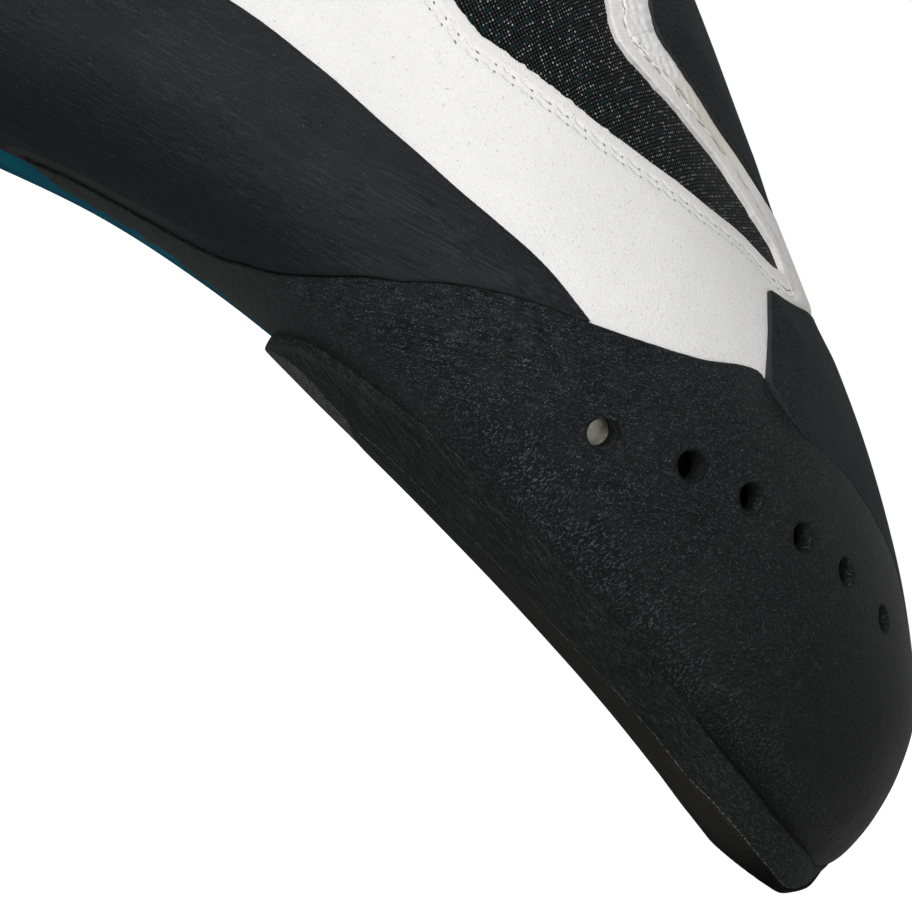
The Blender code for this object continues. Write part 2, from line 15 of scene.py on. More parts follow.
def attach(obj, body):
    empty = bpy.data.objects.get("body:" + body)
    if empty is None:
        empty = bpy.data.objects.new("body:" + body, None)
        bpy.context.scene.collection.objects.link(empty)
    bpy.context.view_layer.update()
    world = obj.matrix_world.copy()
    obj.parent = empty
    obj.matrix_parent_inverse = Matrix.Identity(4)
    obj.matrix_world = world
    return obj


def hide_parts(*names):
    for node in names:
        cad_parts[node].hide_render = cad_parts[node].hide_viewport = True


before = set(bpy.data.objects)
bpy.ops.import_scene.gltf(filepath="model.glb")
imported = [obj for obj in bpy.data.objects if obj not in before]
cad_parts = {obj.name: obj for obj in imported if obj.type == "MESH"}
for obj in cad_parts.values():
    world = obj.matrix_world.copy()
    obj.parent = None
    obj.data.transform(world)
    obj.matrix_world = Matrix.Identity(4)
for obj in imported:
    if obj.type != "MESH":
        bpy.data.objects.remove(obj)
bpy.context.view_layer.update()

MM = 0.001

# The last, as in the part's source, and where it stands
LAST_LENGTH = 235.7 * MM
BALL_WIDTH = 82.5 * MM
INSTEP_HEIGHT = 113.0 * MM
STANDS_AT = np.array((2.1008 * MM, 0.5918 * MM, -0.5019 * MM))
COLUMNS = (
    "bottom_back", "bottom_up", "top_back", "top_up",
    "crest", "outer", "inner", "belt", "square", "sag",
)
SECTIONS = (
    (0.006, 0.1150, 0.006, 0.1150, 0.182, 0.000, 0.000, 0.50, 2.0, 0.000),
    (0.0085, 0.081, 0.0065, 0.153, 0.188, 0.067, 0.055, 0.49, 2.0, 0.000),
    (0.0175, 0.057, 0.0112, 0.207, 0.188, 0.152, 0.115, 0.47, 2.1, 0.000),
    (0.038, 0.053, 0.0235, 0.270, 0.182, 0.248, 0.182, 0.43, 2.3, 0.000),
    (0.076, 0.071, 0.051, 0.336, 0.176, 0.358, 0.242, 0.38, 2.5, 0.000),
    (0.123, 0.093, 0.091, 0.4115, 0.164, 0.455, 0.297, 0.34, 2.6, 0.000),
    (0.182, 0.1185, 0.1485, 0.500, 0.145, 0.545, 0.339, 0.30, 2.7, 0.000),
    (0.250, 0.1415, 0.2185, 0.5885, 0.121, 0.594, 0.376, 0.28, 2.7, 0.000),
    (0.327, 0.160, 0.297, 0.686, 0.097, 0.606, 0.394, 0.27, 2.7, 0.000),
    (0.4115, 0.170, 0.3755, 0.7875, 0.073, 0.576, 0.388, 0.26, 2.6, 0.000),
    (0.5005, 0.170, 0.4455, 0.872, 0.055, 0.521, 0.364, 0.25, 2.5, 0.000),
    (0.594, 0.152, 0.490, 0.920, 0.042, 0.467, 0.352, 0.24, 2.4, 0.000),
    (0.6915, 0.107, 0.5215, 0.949, 0.030, 0.424, 0.352, 0.23, 2.3, 0.000),
    (0.785, 0.061, 0.545, 0.968, 0.018, 0.394, 0.358, 0.22, 2.3, 0.000),
    (0.870, 0.0415, 0.563, 0.981, 0.012, 0.376, 0.364, 0.22, 2.3, 0.012),
    (0.942, 0.054, 0.577, 0.990, 0.006, 0.370, 0.364, 0.23, 2.3, 0.030),
    (0.988, 0.114, 0.588, 0.997, 0.000, 0.370, 0.364, 0.26, 2.2, 0.058),
    (1.010, 0.219, 0.597, 1.003, 0.000, 0.364, 0.358, 0.31, 2.1, 0.088),
    (1.012, 0.363, 0.605, 1.008, 0.000, 0.352, 0.352, 0.38, 2.0, 0.116),
    (1.001, 0.504, 0.612, 1.013, 0.000, 0.339, 0.339, 0.45, 2.0, 0.142),
    (0.984, 0.628, 0.619, 1.018, 0.000, 0.327, 0.327, 0.50, 2.0, 0.162),
    (0.974, 0.708, 0.626, 1.023, 0.000, 0.321, 0.321, 0.52, 2.0, 0.172),
)
COLLAR = len(SECTIONS) - 1

# Stations where the pieces start and stop
SOLE_FRONT, SOLE_REAR = 1.15, 9.35
PATCH_FRONT, PATCH_REAR = 4.3, 10.0
TENSION_FRONT, TENSION_REAR = 7.5, 20.0
RAND_REAR = 11.3
MIDSOLE_FRONT, MIDSOLE_REAR = 2.1, 14.35
HEEL_SOLE_FRONT, HEEL_SOLE_REAR = 12.6, 16.3
INSOLE_FRONT, INSOLE_REAR = 2.4, 15.2
MESH_FRONT = 7.175

# Edges of the pieces: station, and how far round
MIDSOLE_EDGE = (
    (2.0, 0.060), (3.0, 0.120), (4.5, 0.150), (7.5, 0.150), (9.0, 0.122), (9.35, 0.106),
    (9.7, 0.088), (10.3, 0.090), (10.8, 0.080), (11.1, 0.095), (11.3, 0.142), (11.9, 0.146),
    (12.6, 0.125), (13.8, 0.105), (14.4, 0.060), (21.0, 0.160),
)
RAND_TOP_OUTER = (
    (4.3, 1.000), (4.9, 0.962), (5.1, 0.933), (5.6, 0.864), (6.1, 0.792), (6.4, 0.784),
    (6.55, 0.782), (6.85, 0.708), (7.15, 0.657), (7.5, 0.611), (8.0, 0.558), (8.4, 0.512),
    (8.7, 0.468), (9.0, 0.396), (9.3, 0.326), (9.5, 0.291), (9.75, 0.248), (10.1, 0.216),
    (10.6, 0.187), (11.0, 0.170), (11.3, 0.154),
)
RAND_TOP_INNER = (
    (4.3, 1.000), (4.6, 0.930), (5.1, 0.850), (6.1, 0.760), (7.15, 0.712), (7.5, 0.680),
    (8.0, 0.610), (8.4, 0.545), (8.7, 0.495), (9.0, 0.425), (9.3, 0.345), (9.6, 0.280),
    (10.1, 0.225), (10.6, 0.190), (11.0, 0.170), (11.3, 0.154),
)
TENSION_TOP_OUTER = (
    (7.5, 0.615), (7.64, 0.613), (7.85, 0.610), (8.04, 0.6055), (8.4, 0.593), (8.75, 0.582),
    (9.12, 0.5745), (9.5, 0.568), (9.9, 0.5645), (10.3, 0.5625), (11.0, 0.562), (13.0, 0.545),
    (16.0, 0.515), (20.0, 0.460),
)
TENSION_TOP_INNER = (
    (7.5, 0.680), (8.4, 0.625), (9.9, 0.575), (10.9, 0.562), (13.0, 0.545), (16.0, 0.515),
    (20.0, 0.460),
)
PATCH_LEFT = (
    (4.3, 0.000), (4.9, -0.038), (5.1, -0.067), (5.6, -0.136), (6.1, -0.208), (6.4, -0.216),
    (6.5, -0.211), (6.55, -0.203), (6.81, -0.161), (6.94, -0.142), (7.07, -0.122),
)
PATCH_NOTCH = (
    (6.90, 0.030), (6.915, -0.030), (6.93, -0.056), (6.97, -0.082), (7.07, -0.122),
)
PATCH_FAR = (
    (6.90, 0.030), (6.93, 0.090), (7.00, 0.140), (7.20, 0.165), (7.40, 0.150), (7.52, 0.110),
    (7.60, 0.055), (7.66, 0.005), (7.74, -0.030), (7.87, -0.045), (7.97, -0.052), (8.07, -0.061),
    (8.17, -0.073), (8.28, -0.086), (8.38, -0.096), (8.49, -0.107), (8.59, -0.117), (8.70, -0.126),
    (8.81, -0.133), (8.92, -0.134), (9.08, -0.124), (9.30, -0.090), (9.80, 0.020), (10.0, 0.060),
)
PATCH_INNER = (
    (4.3, 0.000), (4.6, 0.070), (5.1, 0.150), (6.1, 0.240), (7.15, 0.288), (8.0, 0.295),
    (9.0, 0.265), (9.6, 0.215), (10.0, 0.140),
)
MESH_OUTER = (
    (6.60, -0.020), (6.94, -0.056), (7.175, -0.0680), (7.24, -0.086), (7.355, -0.104),
    (7.47, -0.121), (7.59, -0.146), (7.72, -0.170), (7.86, -0.190), (8.00, -0.209), (8.14, -0.227),
    (8.29, -0.243), (8.445, -0.259), (8.76, -0.283), (9.23, -0.311), (9.56, -0.325),
    (9.82, -0.326), (12.0, -0.330), (16.0, -0.320), (21.0, -0.300),
)
MESH_INNER = (
    (6.60, -0.020), (6.94, -0.056), (7.175, -0.0680), (7.233, -0.0625), (7.34, -0.062),
    (7.445, -0.069), (7.55, -0.077), (7.66, -0.084), (7.765, -0.092), (7.87, -0.098),
    (7.98, -0.107), (8.095, -0.119), (8.21, -0.132), (8.32, -0.144), (8.44, -0.156),
    (8.56, -0.170), (8.68, -0.179), (8.81, -0.189), (8.93, -0.194), (9.04, -0.192), (9.20, -0.184),
    (9.8, -0.110), (10.6, 0.000), (12.0, 0.110), (16.0, 0.180), (21.0, 0.200),
)
SOLE_JOINT = (
    (1.15, 0.000), (1.35, 0.060), (1.6, 0.140), (2.0, 0.262), (2.4, 0.298), (3.0, 0.330),
    (3.65, 0.350), (4.6, 0.358), (5.33, 0.364), (6.06, 0.368), (6.40, 0.367), (6.73, 0.362),
    (7.12, 0.357), (7.49, 0.348), (7.83, 0.330), (8.16, 0.308), (8.47, 0.285), (8.84, 0.249),
    (9.2, 0.155), (9.35, 0.050),
)
SOLE_LINE_SHARE = (
    (1.6, 0.98), (2.2, 0.90), (2.55, 0.868), (2.82, 0.842), (3.35, 0.826), (3.87, 0.836),
    (4.29, 0.800), (4.57, 0.735), (4.91, 0.680), (5.31, 0.665), (5.74, 0.685), (6.10, 0.68),
    (6.80, 0.69), (7.43, 0.715), (7.82, 0.79), (8.02, 0.85), (8.23, 0.95), (8.4, 1.0),
    (9.35, 1.0),
)
SOLE_EDGE_SHARE = (
    (1.15, 0.30), (1.6, 0.36), (2.0, 0.43), (2.49, 0.595), (2.78, 0.69), (3.32, 0.765),
    (3.85, 0.775), (4.28, 0.70), (4.83, 0.59), (5.6, 0.50), (6.4, 0.46), (7.4, 0.46),
    (7.9, 0.58), (8.5, 0.73), (8.85, 0.84), (9.35, 0.88),
)
SOLE_DEPTH_SHARE = (
    (1.15, 0.02), (1.45, 0.13), (1.6, 0.28), (2.0, 0.86), (2.4, 1.14), (3.0, 1.22), (4.0, 1.18),
    (4.6, 1.08), (5.6, 0.97), (7.4, 0.93), (8.0, 0.88), (8.7, 0.75), (9.2, 0.54), (9.35, 0.46),
)
SOLE_STEP_MM = (
    (1.15, 0.01), (1.6, 0.06), (2.0, 0.14), (3.0, 0.28), (4.3, 0.24), (5.0, 0.08), (5.6, 0.02),
    (7.0, 0.02), (7.6, 0.15), (8.2, 0.60), (8.7, 1.00), (9.35, 1.20),
)
TEAL_MORE = (
    (9.0, 0.000), (9.4, 0.022), (9.8, 0.034), (10.4, 0.034), (10.9, 0.028), (11.3, 0.006),
)
HEEL_SOLE_EDGE = (
    (12.6, 0.215), (12.9, 0.240), (13.2, 0.255), (14.0, 0.270), (15.0, 0.262),
    (15.7, 0.232), (16.0, 0.200), (16.3, 0.140),
)
INSOLE_EDGE = (
    (2.4, 0.060), (3.0, 0.150), (4.5, 0.235), (7.0, 0.250), (9.5, 0.215), (12.0, 0.190),
    (13.5, 0.200), (14.6, 0.170), (15.2, 0.060),
)
VENT_HOLES = (
    (6.86, 0.553), (6.29, 0.617), (5.84, 0.666), (5.36, 0.714), (4.91, 0.774), (4.30, 0.845),
)
VENT_RADIUS = 2.0 * MM
VENT_LEAN = -0.60

# Levels above the outside of the upper
WALL_INSIDE = -1.8 * MM
RUBBER_UNDERSIDE = 0.25 * MM
RAND_OUTSIDE = 2.1 * MM
SOLE_INSIDE = 2.4 * MM
SOLE_OVER_RAND = 3.9 * MM
HEEL_SOLE_THICKNESS = 3.0 * MM
MIDSOLE_OUTSIDE = 1.7 * MM
MIDSOLE_THICKNESS = 3.4 * MM
FOOTBED_TOP = -2.25 * MM
FOOTBED_UNDERSIDE = -3.4 * MM
SOLE_UNDERSIDE = 1.2 * MM
PANEL_OUTSIDE = 0.35 * MM
PANEL_UNDERSIDE = -0.95 * MM
CREST_RISE = 1.45 * MM

# Meshes and waves
LINE_PITCH = 0.15 * MM
SHARP_ANGLE = 0.7
NOISE_OCTAVES = 3
WAVES_PER_OCTAVE = 5

# Materials, in millimetres of their marks
STITCH_PITCH_MM = 2.9
KNIT_PITCH_MM = 0.53

# The camera: the outer side from a little ahead, rolled as in the photograph
CAMERA_AZIMUTH = 12.0
CAMERA_ELEVATION = 1.5
CAMERA_ROLL = 38.0
CAMERA_DISTANCE = 0.62
METRES_PER_PIXEL = 0.14 * MM
PICTURE = (912, 899)
TIP = np.array((0.11645, 0.01559, -0.00050))
TIP_PIXEL = (776, 893)


def smooth_rows(table, where):
    """Rows of a table, and smooth steps between them."""
    rows = np.asarray(table, float)
    place = np.clip(np.asarray(where, float), 0, len(rows) - 1)
    low = np.minimum(place.astype(int), len(rows) - 2)
    t = (place - low)[..., None]
    here = rows[low]
    there = rows[low + 1]
    before = np.where((low > 0)[..., None], rows[np.maximum(low - 1, 0)], 2 * here - there)
    last = (low + 2 > len(rows) - 1)[..., None]
    after = np.where(last, 2 * there - here, rows[np.minimum(low + 2, len(rows) - 1)])
    rise = there - before
    bend = 2 * before - 5 * here + 4 * there - after
    twist = 3 * here - before - 3 * there + after
    return here + 0.5 * (rise * t + bend * t**2 + twist * t**3)


def edge(table, station):
    """An edge through its rows, smooth, and never past them."""
    rows = np.asarray(table, float)
    xs, ys = rows[:, 0], rows[:, 1]
    steps = np.diff(xs)
    slopes = np.diff(ys) / steps
    tangents = np.zeros(len(xs))
    inner = slopes[:-1] * slopes[1:] > 0
    both = 2 * slopes[:-1] * slopes[1:]
    total = slopes[:-1] + slopes[1:]
    tangents[1:-1][inner] = both[inner] / total[inner]
    tangents[0], tangents[-1] = slopes[0], slopes[-1]
    at = np.clip(np.asarray(station, float), xs[0], xs[-1])
    low = np.clip(np.searchsorted(xs, at, side="right") - 1, 0, len(xs) - 2)
    t = (at - xs[low]) / steps[low]
    a = (1 + 2 * t) * (1 - t) ** 2 * ys[low] + t * (1 - t) ** 2 * steps[low] * tangents[low]
    b = t**2 * (3 - 2 * t) * ys[low + 1] + t**2 * (t - 1) * steps[low] * tangents[low + 1]
    return a + b


def rounded(value, power):
    """A sine or cosine bent so that the section is squarer where power is over 2."""
    return np.sign(value) * np.abs(value) ** (2 / power)


def surface(station, around):
    """The point of the last at a place."""
    around = (np.asarray(around, float) + 1) % 2 - 1
    columns = smooth_rows(SECTIONS, station)
    row = {name: columns[..., index] for index, name in enumerate(COLUMNS)}
    turn = around * np.pi
    under = np.cos(turn) > 0
    power = np.where(under, row["square"], 2.0)
    half_width = np.where(around < 0, row["outer"], row["inner"])
    y = BALL_WIDTH * (row["crest"] + half_width * rounded(np.sin(turn), power))
    reach = np.where(under, row["belt"], 1 - row["belt"])
    share = row["belt"] - reach * rounded(np.cos(turn), power)
    back = row["bottom_back"] + (row["top_back"] - row["bottom_back"]) * share
    up = row["bottom_up"] + (row["top_up"] - row["bottom_up"]) * share
    up = up - row["sag"] * np.abs(np.sin(turn)) ** 1.5
    x = (0.5 - back) * LAST_LENGTH
    return np.stack([x, y, up * INSTEP_HEIGHT], axis=-1) + STANDS_AT


def normals(station, around):
    """The way out of the last at a place."""
    station = np.maximum(station, 0.05)
    ahead = surface(np.minimum(station + 0.03, COLLAR), around)
    behind = surface(np.maximum(station - 0.03, 0.0), around)
    right = surface(station, around + 0.006)
    left = surface(station, around - 0.006)
    across = np.cross(ahead - behind, right - left)
    size = np.linalg.norm(across, axis=-1, keepdims=True)
    return across / np.maximum(size, 1e-12)


def ramp(value, low, high):
    share = np.clip((value - low) / (high - low), 0, 1)
    return share * share * (3 - 2 * share)


def bead(distance, radius):
    """How far up a rounded edge is, at a distance in from the edge, from 0 to 1."""
    share = np.clip(distance / radius, 0, 1)
    return np.sqrt(np.maximum(0, 1 - (1 - share) ** 2))


def noise(points, size, seed):
    """Smooth seeded waves of about the given size, from -1 to 1."""
    source = np.random.default_rng(seed)
    total = np.zeros(points.shape[:-1])
    weight = 0.0
    for octave in range(NOISE_OCTAVES):
        for _ in range(WAVES_PER_OCTAVE):
            way = source.normal(size=3)
            way *= 2 * np.pi * 2**octave / (size * np.linalg.norm(way))
            total += np.sin(points @ way + source.uniform(0, 6.28)) / 2**octave
        weight += 2.2 / 2**octave
    return np.clip(total / weight, -1, 1)


def wobble(stations, size, seed):
    """The same along a row of stations."""
    return noise(stations[:, None] * np.array([[1.0, 0.0, 0.0]]), size, seed)


def distances(base):
    """Metres along the rows and down the columns of a grid of points."""
    across = np.linalg.norm(np.diff(base, axis=1), axis=2)
    along = np.linalg.norm(np.diff(base, axis=0), axis=2)
    from_low = np.pad(np.cumsum(across, axis=1), ((0, 0), (1, 0)))
    from_front = np.pad(np.cumsum(along, axis=0), ((1, 0), (0, 0)))
    return from_low, from_front


def spread(*runs):
    """Stations from runs of (start, stop, count), each run starting where the one before stops."""
    parts = [np.linspace(*run) for run in runs]
    return np.concatenate(parts[:1] + [part[1:] for part in parts[1:]])


def without(column, around):
    """Which cells of a grid are kept: all but one column of them."""
    kept = np.ones((around.shape[0] - 1, around.shape[1] - 1), bool)
    kept[:, column] = False
    return kept


def lines(*runs):
    """Columns of places round the foot, from runs of (start, stop, cells)."""
    columns = []
    for start, stop, cells in runs:
        share = np.linspace(0, 1, cells + 1)[1 if columns else 0:]
        start, stop = np.broadcast_arrays(np.asarray(start, float), np.asarray(stop, float))
        columns.append(start[:, None] + (stop - start)[:, None] * share[None, :])
    return np.concatenate(columns, axis=1)


class Grid:
    """Places on the last: stations down the rows, and places round the foot across them."""

    def __init__(self, stations, around):
        self.stations = np.asarray(stations, float)
        self.around = around
        self.station = np.repeat(self.stations[:, None], around.shape[1], axis=1)
        self.base = surface(self.station, self.around)
        self.facing = normals(self.station, self.around)
        self.from_low, self.from_front = distances(self.base)
        self.to_rear = self.from_front[-1:] - self.from_front

    def at(self, level):
        return self.base + self.facing * np.broadcast_to(level, self.station.shape)[..., None]

    def to_line(self, line):
        return self.nearest(line)[0]

    def nearest(self, line):
        """Metres from each place to a line of points on the last, and the nearest point's number."""
        tree = KDTree(len(line))
        for index, point in enumerate(line):
            tree.insert(point, index)
        tree.balance()
        flat = self.base.reshape(-1, 3)
        found = np.array([tree.find(point)[1:] for point in flat])
        return found[:, 1].reshape(self.station.shape), found[:, 0].reshape(self.station.shape)


def run_along(points):
    """Metres along a line, at each of its points."""
    return np.concatenate([[0], np.cumsum(np.linalg.norm(np.diff(points, axis=0), axis=1))])


def edge_line(table, side, first, last):
    """Points on the last, evenly along an edge.

    Side is -1 on the outer side, 1 on the inner, and 0 for an edge given as a turn from the crest.
    """
    station = np.linspace(first, last, 4000)
    around = edge(table, station)
    points = surface(station, side * around if side else 1 - around)
    run = run_along(points)
    wanted = np.linspace(0, run[-1], int(run[-1] / LINE_PITCH) + 2)
    return np.stack([np.interp(wanted, run, points[:, k]) for k in range(3)], axis=1)


def shell(name, grid, level, inside, kept=None, closed=False, marks=None, floor=None):
    """The kept cells of a grid at a level, with walls down to the level inside.

    Points that fall together become one, so a row can close to a point.
    """
    points = grid.at(level).reshape(-1, 3)
    under = grid.at(inside).reshape(-1, 3)
    keys = np.round(grid.base.reshape(-1, 3) / 2e-6).astype(np.int64)
    _, first, number = np.unique(keys, axis=0, return_index=True, return_inverse=True)
    number = number.reshape(grid.station.shape)
    count = len(first)
    faces = np.stack([number[:-1, :-1], number[1:, :-1], number[1:, 1:], number[:-1, 1:]], -1)
    faces = faces.reshape(-1, 4) if kept is None else faces[kept]
    loops = []
    for face in faces.tolist():
        loop = [c for k, c in enumerate(face) if c != face[k - 1]]
        if len(set(loop)) > 2:
            loops.append(loop)
    open_edges = set()
    for loop in loops:
        for k, c in enumerate(loop):
            if (c, loop[k - 1]) in open_edges:
                open_edges.discard((c, loop[k - 1]))
            else:
                open_edges.add((loop[k - 1], c))
    if closed:
        loops = loops + [[c + count for c in reversed(loop)] for loop in loops]
    walls = [[stop, start, start + count, stop + count] for start, stop in sorted(open_edges)]
    stacked = np.concatenate([points[first], under[first]])
    if floor is not None:
        stacked[:, 2] = np.maximum(stacked[:, 2], floor)
    flat = grid.from_low.reshape(-1)[first], grid.from_front.reshape(-1)[first]
    lengths = np.tile(np.stack(flat, axis=-1), (2, 1))
    values = {}
    for mark, value in (marks or {}).items():
        value = np.broadcast_to(value, grid.station.shape).reshape(-1)[first]
        values[mark] = np.tile(value, 2)
    return piece(name, stacked, loops + walls, lengths, values)


def add_object(name, data):
    made = bpy.data.objects.new(name, data)
    bpy.context.scene.collection.objects.link(made)
    return made


def piece(name, points, faces, lengths=None, marks=None):
    """One mesh on the root. Lengths become its texture coordinates, and marks its attributes."""
    mesh = bpy.data.meshes.new(name)
    mesh.from_pydata(points.tolist(), [], faces)
    if lengths is not None:
        layer = mesh.uv_layers.new(name="along")
        corners = np.zeros(len(mesh.loops), np.int32)
        mesh.loops.foreach_get("vertex_index", corners)
        layer.data.foreach_set("uv", lengths[corners].ravel())
    for mark, value in (marks or {}).items():
        layer = mesh.attributes.new(mark, "FLOAT", "POINT")
        layer.data.foreach_set("value", np.asarray(value, np.float32))
    made = add_object(name, mesh)
    work = bmesh.new()
    work.from_mesh(mesh)
    loose = [vertex for vertex in work.verts if not vertex.link_faces]
    bmesh.ops.delete(work, geom=loose, context="VERTS")
    work.to_mesh(mesh)
    work.free()
    mesh.shade_smooth()
    mesh.set_sharp_from_angle(angle=SHARP_ANGLE)
    mesh.update()
    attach(made, "root")
    return made


class Look:
    """A material, built node by node. Sizes are in metres of the object's own space."""

    def __init__(self, name, roughness, specular):
        self.material = bpy.data.materials.new(name)
        self.material.use_nodes = True
        self.tree = self.material.node_tree
        self.shader = self.tree.nodes["Principled BSDF"]
        self.set(Roughness=roughness, Specular_IOR_Level=specular)
        self.place = self.node("TexCoord").outputs["Object"]

    def set(self, **values):
        for key, value in values.items():
            self.feed(self.shader.inputs[key.replace("_", " ")], value)

    def feed(self, socket, value):
        if isinstance(value, bpy.types.NodeSocket):
            self.tree.links.new(value, socket)
        elif isinstance(value, tuple) and socket.type == "RGBA":
            socket.default_value = (*value, 1.0)
        else:
            socket.default_value = value

    def node(self, kind, inputs=None, **settings):
        made = self.tree.nodes.new("ShaderNode" + kind)
        for key, value in settings.items():
            setattr(made, key, value)
        for key, value in (inputs or {}).items():
            self.feed(made.inputs[key], value)
        return made

    def math(self, operation, *values):
        inputs = dict(enumerate(values))
        return self.node("Math", inputs, operation=operation).outputs[0]

    def times(self, *values):
        return self.math("MULTIPLY", *values)

    def mark(self, name):
        return self.node("Attribute", attribute_name=name).outputs["Fac"]

    def turned(self, sizes, y=0.0, z=0.0, vector=None, unit=MM):
        """Places turned about y and z, then measured in units of the sizes."""
        turned = self.node("Mapping", {"Vector": vector or self.place}, vector_type="POINT")
        turned.inputs["Rotation"].default_value = (0.0, np.radians(y), np.radians(z))
        scaled = self.node("Mapping", {"Vector": turned.outputs[0]}, vector_type="POINT")
        scaled.inputs["Scale"].default_value = [1 / (size * unit) for size in sizes]
        return scaled.outputs[0]

    def pair(self, x, y):
        return self.node("CombineXYZ", {"X": x, "Y": y}).outputs[0]

    def reach(self, x, y):
        """How far the point (x, y) is from (0, 0)."""
        made = self.node("VectorMath", {0: self.pair(x, y)}, operation="LENGTH")
        return made.outputs["Value"]

    def noise(self, size, detail=2.0, roughness=0.5, vector=None, distortion=0.0):
        """Noise with features of about the size, in metres, or in the vector's units."""
        return self.node("TexNoise", {
            "Vector": vector or self.place, "Scale": 1.0 / size, "Detail": detail,
            "Roughness": roughness, "Distortion": distortion,
        }).outputs[0]

    def hairs(self, vector, width):
        """Thin wandering lines, 1 on a line and 0 off it."""
        waves = self.noise(1.0, 2, 0.5, vector)
        off = self.math("ABSOLUTE", self.math("SUBTRACT", waves, 0.5))
        return self.range(off, width, 0.0)

    def total(self, *terms):
        """The sum of values, each with its weight."""
        value, weight = terms[0]
        made = self.times(value, weight)
        for value, weight in terms[1:]:
            made = self.math("MULTIPLY_ADD", value, weight, made)
        return made

    def range(self, value, low, high, to_low=0.0, to_high=1.0):
        return self.node("MapRange", {
            "Value": value, "From Min": low, "From Max": high, "To Min": to_low,
            "To Max": to_high,
        }, interpolation_type="SMOOTHSTEP").outputs[0]

    def over(self, tone, share, most, colour):
        """The tone, with a colour laid over it as far as share times most."""
        return self.mix(self.times(share, most), tone, colour)

    def mix(self, share, first, second):
        made = self.node("Mix", data_type="RGBA")
        self.feed(made.inputs[0], share)
        self.feed(made.inputs[6], first)
        self.feed(made.inputs[7], second)
        return made.outputs[2]

    def bump(self, height, depth):
        """Raises the surface by height times depth, in metres."""
        return self.node("Bump", {"Height": height, "Distance": depth, "Strength": 1.0}).outputs[0]


def rand_foot(station):
    """How far round the toe rand starts: under the sole, then at the midsole."""
    midsole = edge(MIDSOLE_EDGE, station) + edge(TEAL_MORE, station) + 0.003
    return np.where(station < 8.5, np.minimum(midsole, 0.8 * edge(SOLE_JOINT, station)), midsole)


def cover(station, rand_top, tension_top):
    """The top of the rubber: the toe rand's, then the heel rand's."""
    return np.where(station < 7.5, edge(rand_top, station), edge(tension_top, station))


def heel_level(below_top):
    """The heel rand is skived to its top edge."""
    return 0.85 * MM + 0.9 * MM * ramp(below_top, 0, 9 * MM)


def build_toe_rand():
    stations = spread((0, 2.2, 32), (2.2, 9.3, 190), (9.3, RAND_REAR, 130))
    foot = rand_foot(stations)
    jagged = wobble(stations, 0.09, 3)
    foot = foot + 0.015 * jagged * ramp(stations, 9.2, 9.6)
    outer = edge(RAND_TOP_OUTER, stations)
    inner = edge(RAND_TOP_INNER, stations)
    outer = np.maximum(outer, foot + 0.004)
    inner = np.maximum(inner, foot + 0.004)
    rim = np.minimum(0.010, 0.4 * (outer - foot))
    around = lines(
        (-outer, -outer + rim, 5), (-outer + rim, -foot - rim, 58), (-foot - rim, -foot, 3),
        (-foot, foot, 1),
        (foot, foot + rim, 3), (foot + rim, inner - rim, 38), (inner - rim, inner, 4),
    )
    grid = Grid(stations, around)
    kept = without(5 + 58 + 3, around)
    outer_line = edge_line(RAND_TOP_OUTER, -1, PATCH_FRONT, RAND_REAR)
    inner_line = edge_line(RAND_TOP_INNER, 1, PATCH_FRONT, RAND_REAR)
    from_top = grid.to_line(np.concatenate([outer_line, inner_line]))
    foot_line = np.concatenate([
        surface(stations[stations > 9.2], side * foot[stations > 9.2]) for side in (-1, 1)
    ])
    from_foot = grid.to_line(foot_line)
    station = grid.station
    on_white = ramp(station, 5.9, 6.5) * (1 - ramp(station, 7.3, 7.7))
    outer_tension = edge(TENSION_TOP_OUTER, station)
    tension = np.where(grid.around < 0, outer_tension, edge(TENSION_TOP_INNER, station))
    below_top = np.maximum(0, tension - np.abs(grid.around)) * 0.11
    over_heel = heel_level(below_top) + 0.30 * MM
    level = RAND_OUTSIDE - on_white * 0.95 * MM * (1 - ramp(from_top, 0, 8 * MM))
    joint = ramp(station, 7.2, 7.6)
    at_joint = level + (over_heel - level) * (1 - ramp(from_top, 0, 6 * MM))
    level = level + (at_joint - level) * joint
    level = level - 0.22 * MM * (1 - bead(from_top, 0.35 * MM))
    level = level - 0.5 * MM * (1 - bead(from_foot, 0.5 * MM)) * (station > 9.2)
    rand = shell("toe_rand_rubber", grid, level, RUBBER_UNDERSIDE, kept, closed=True, marks={
        "edge": from_top / MM, "station": station, "around": np.abs(grid.around),
    })
    cut_vents(rand)
    return rand


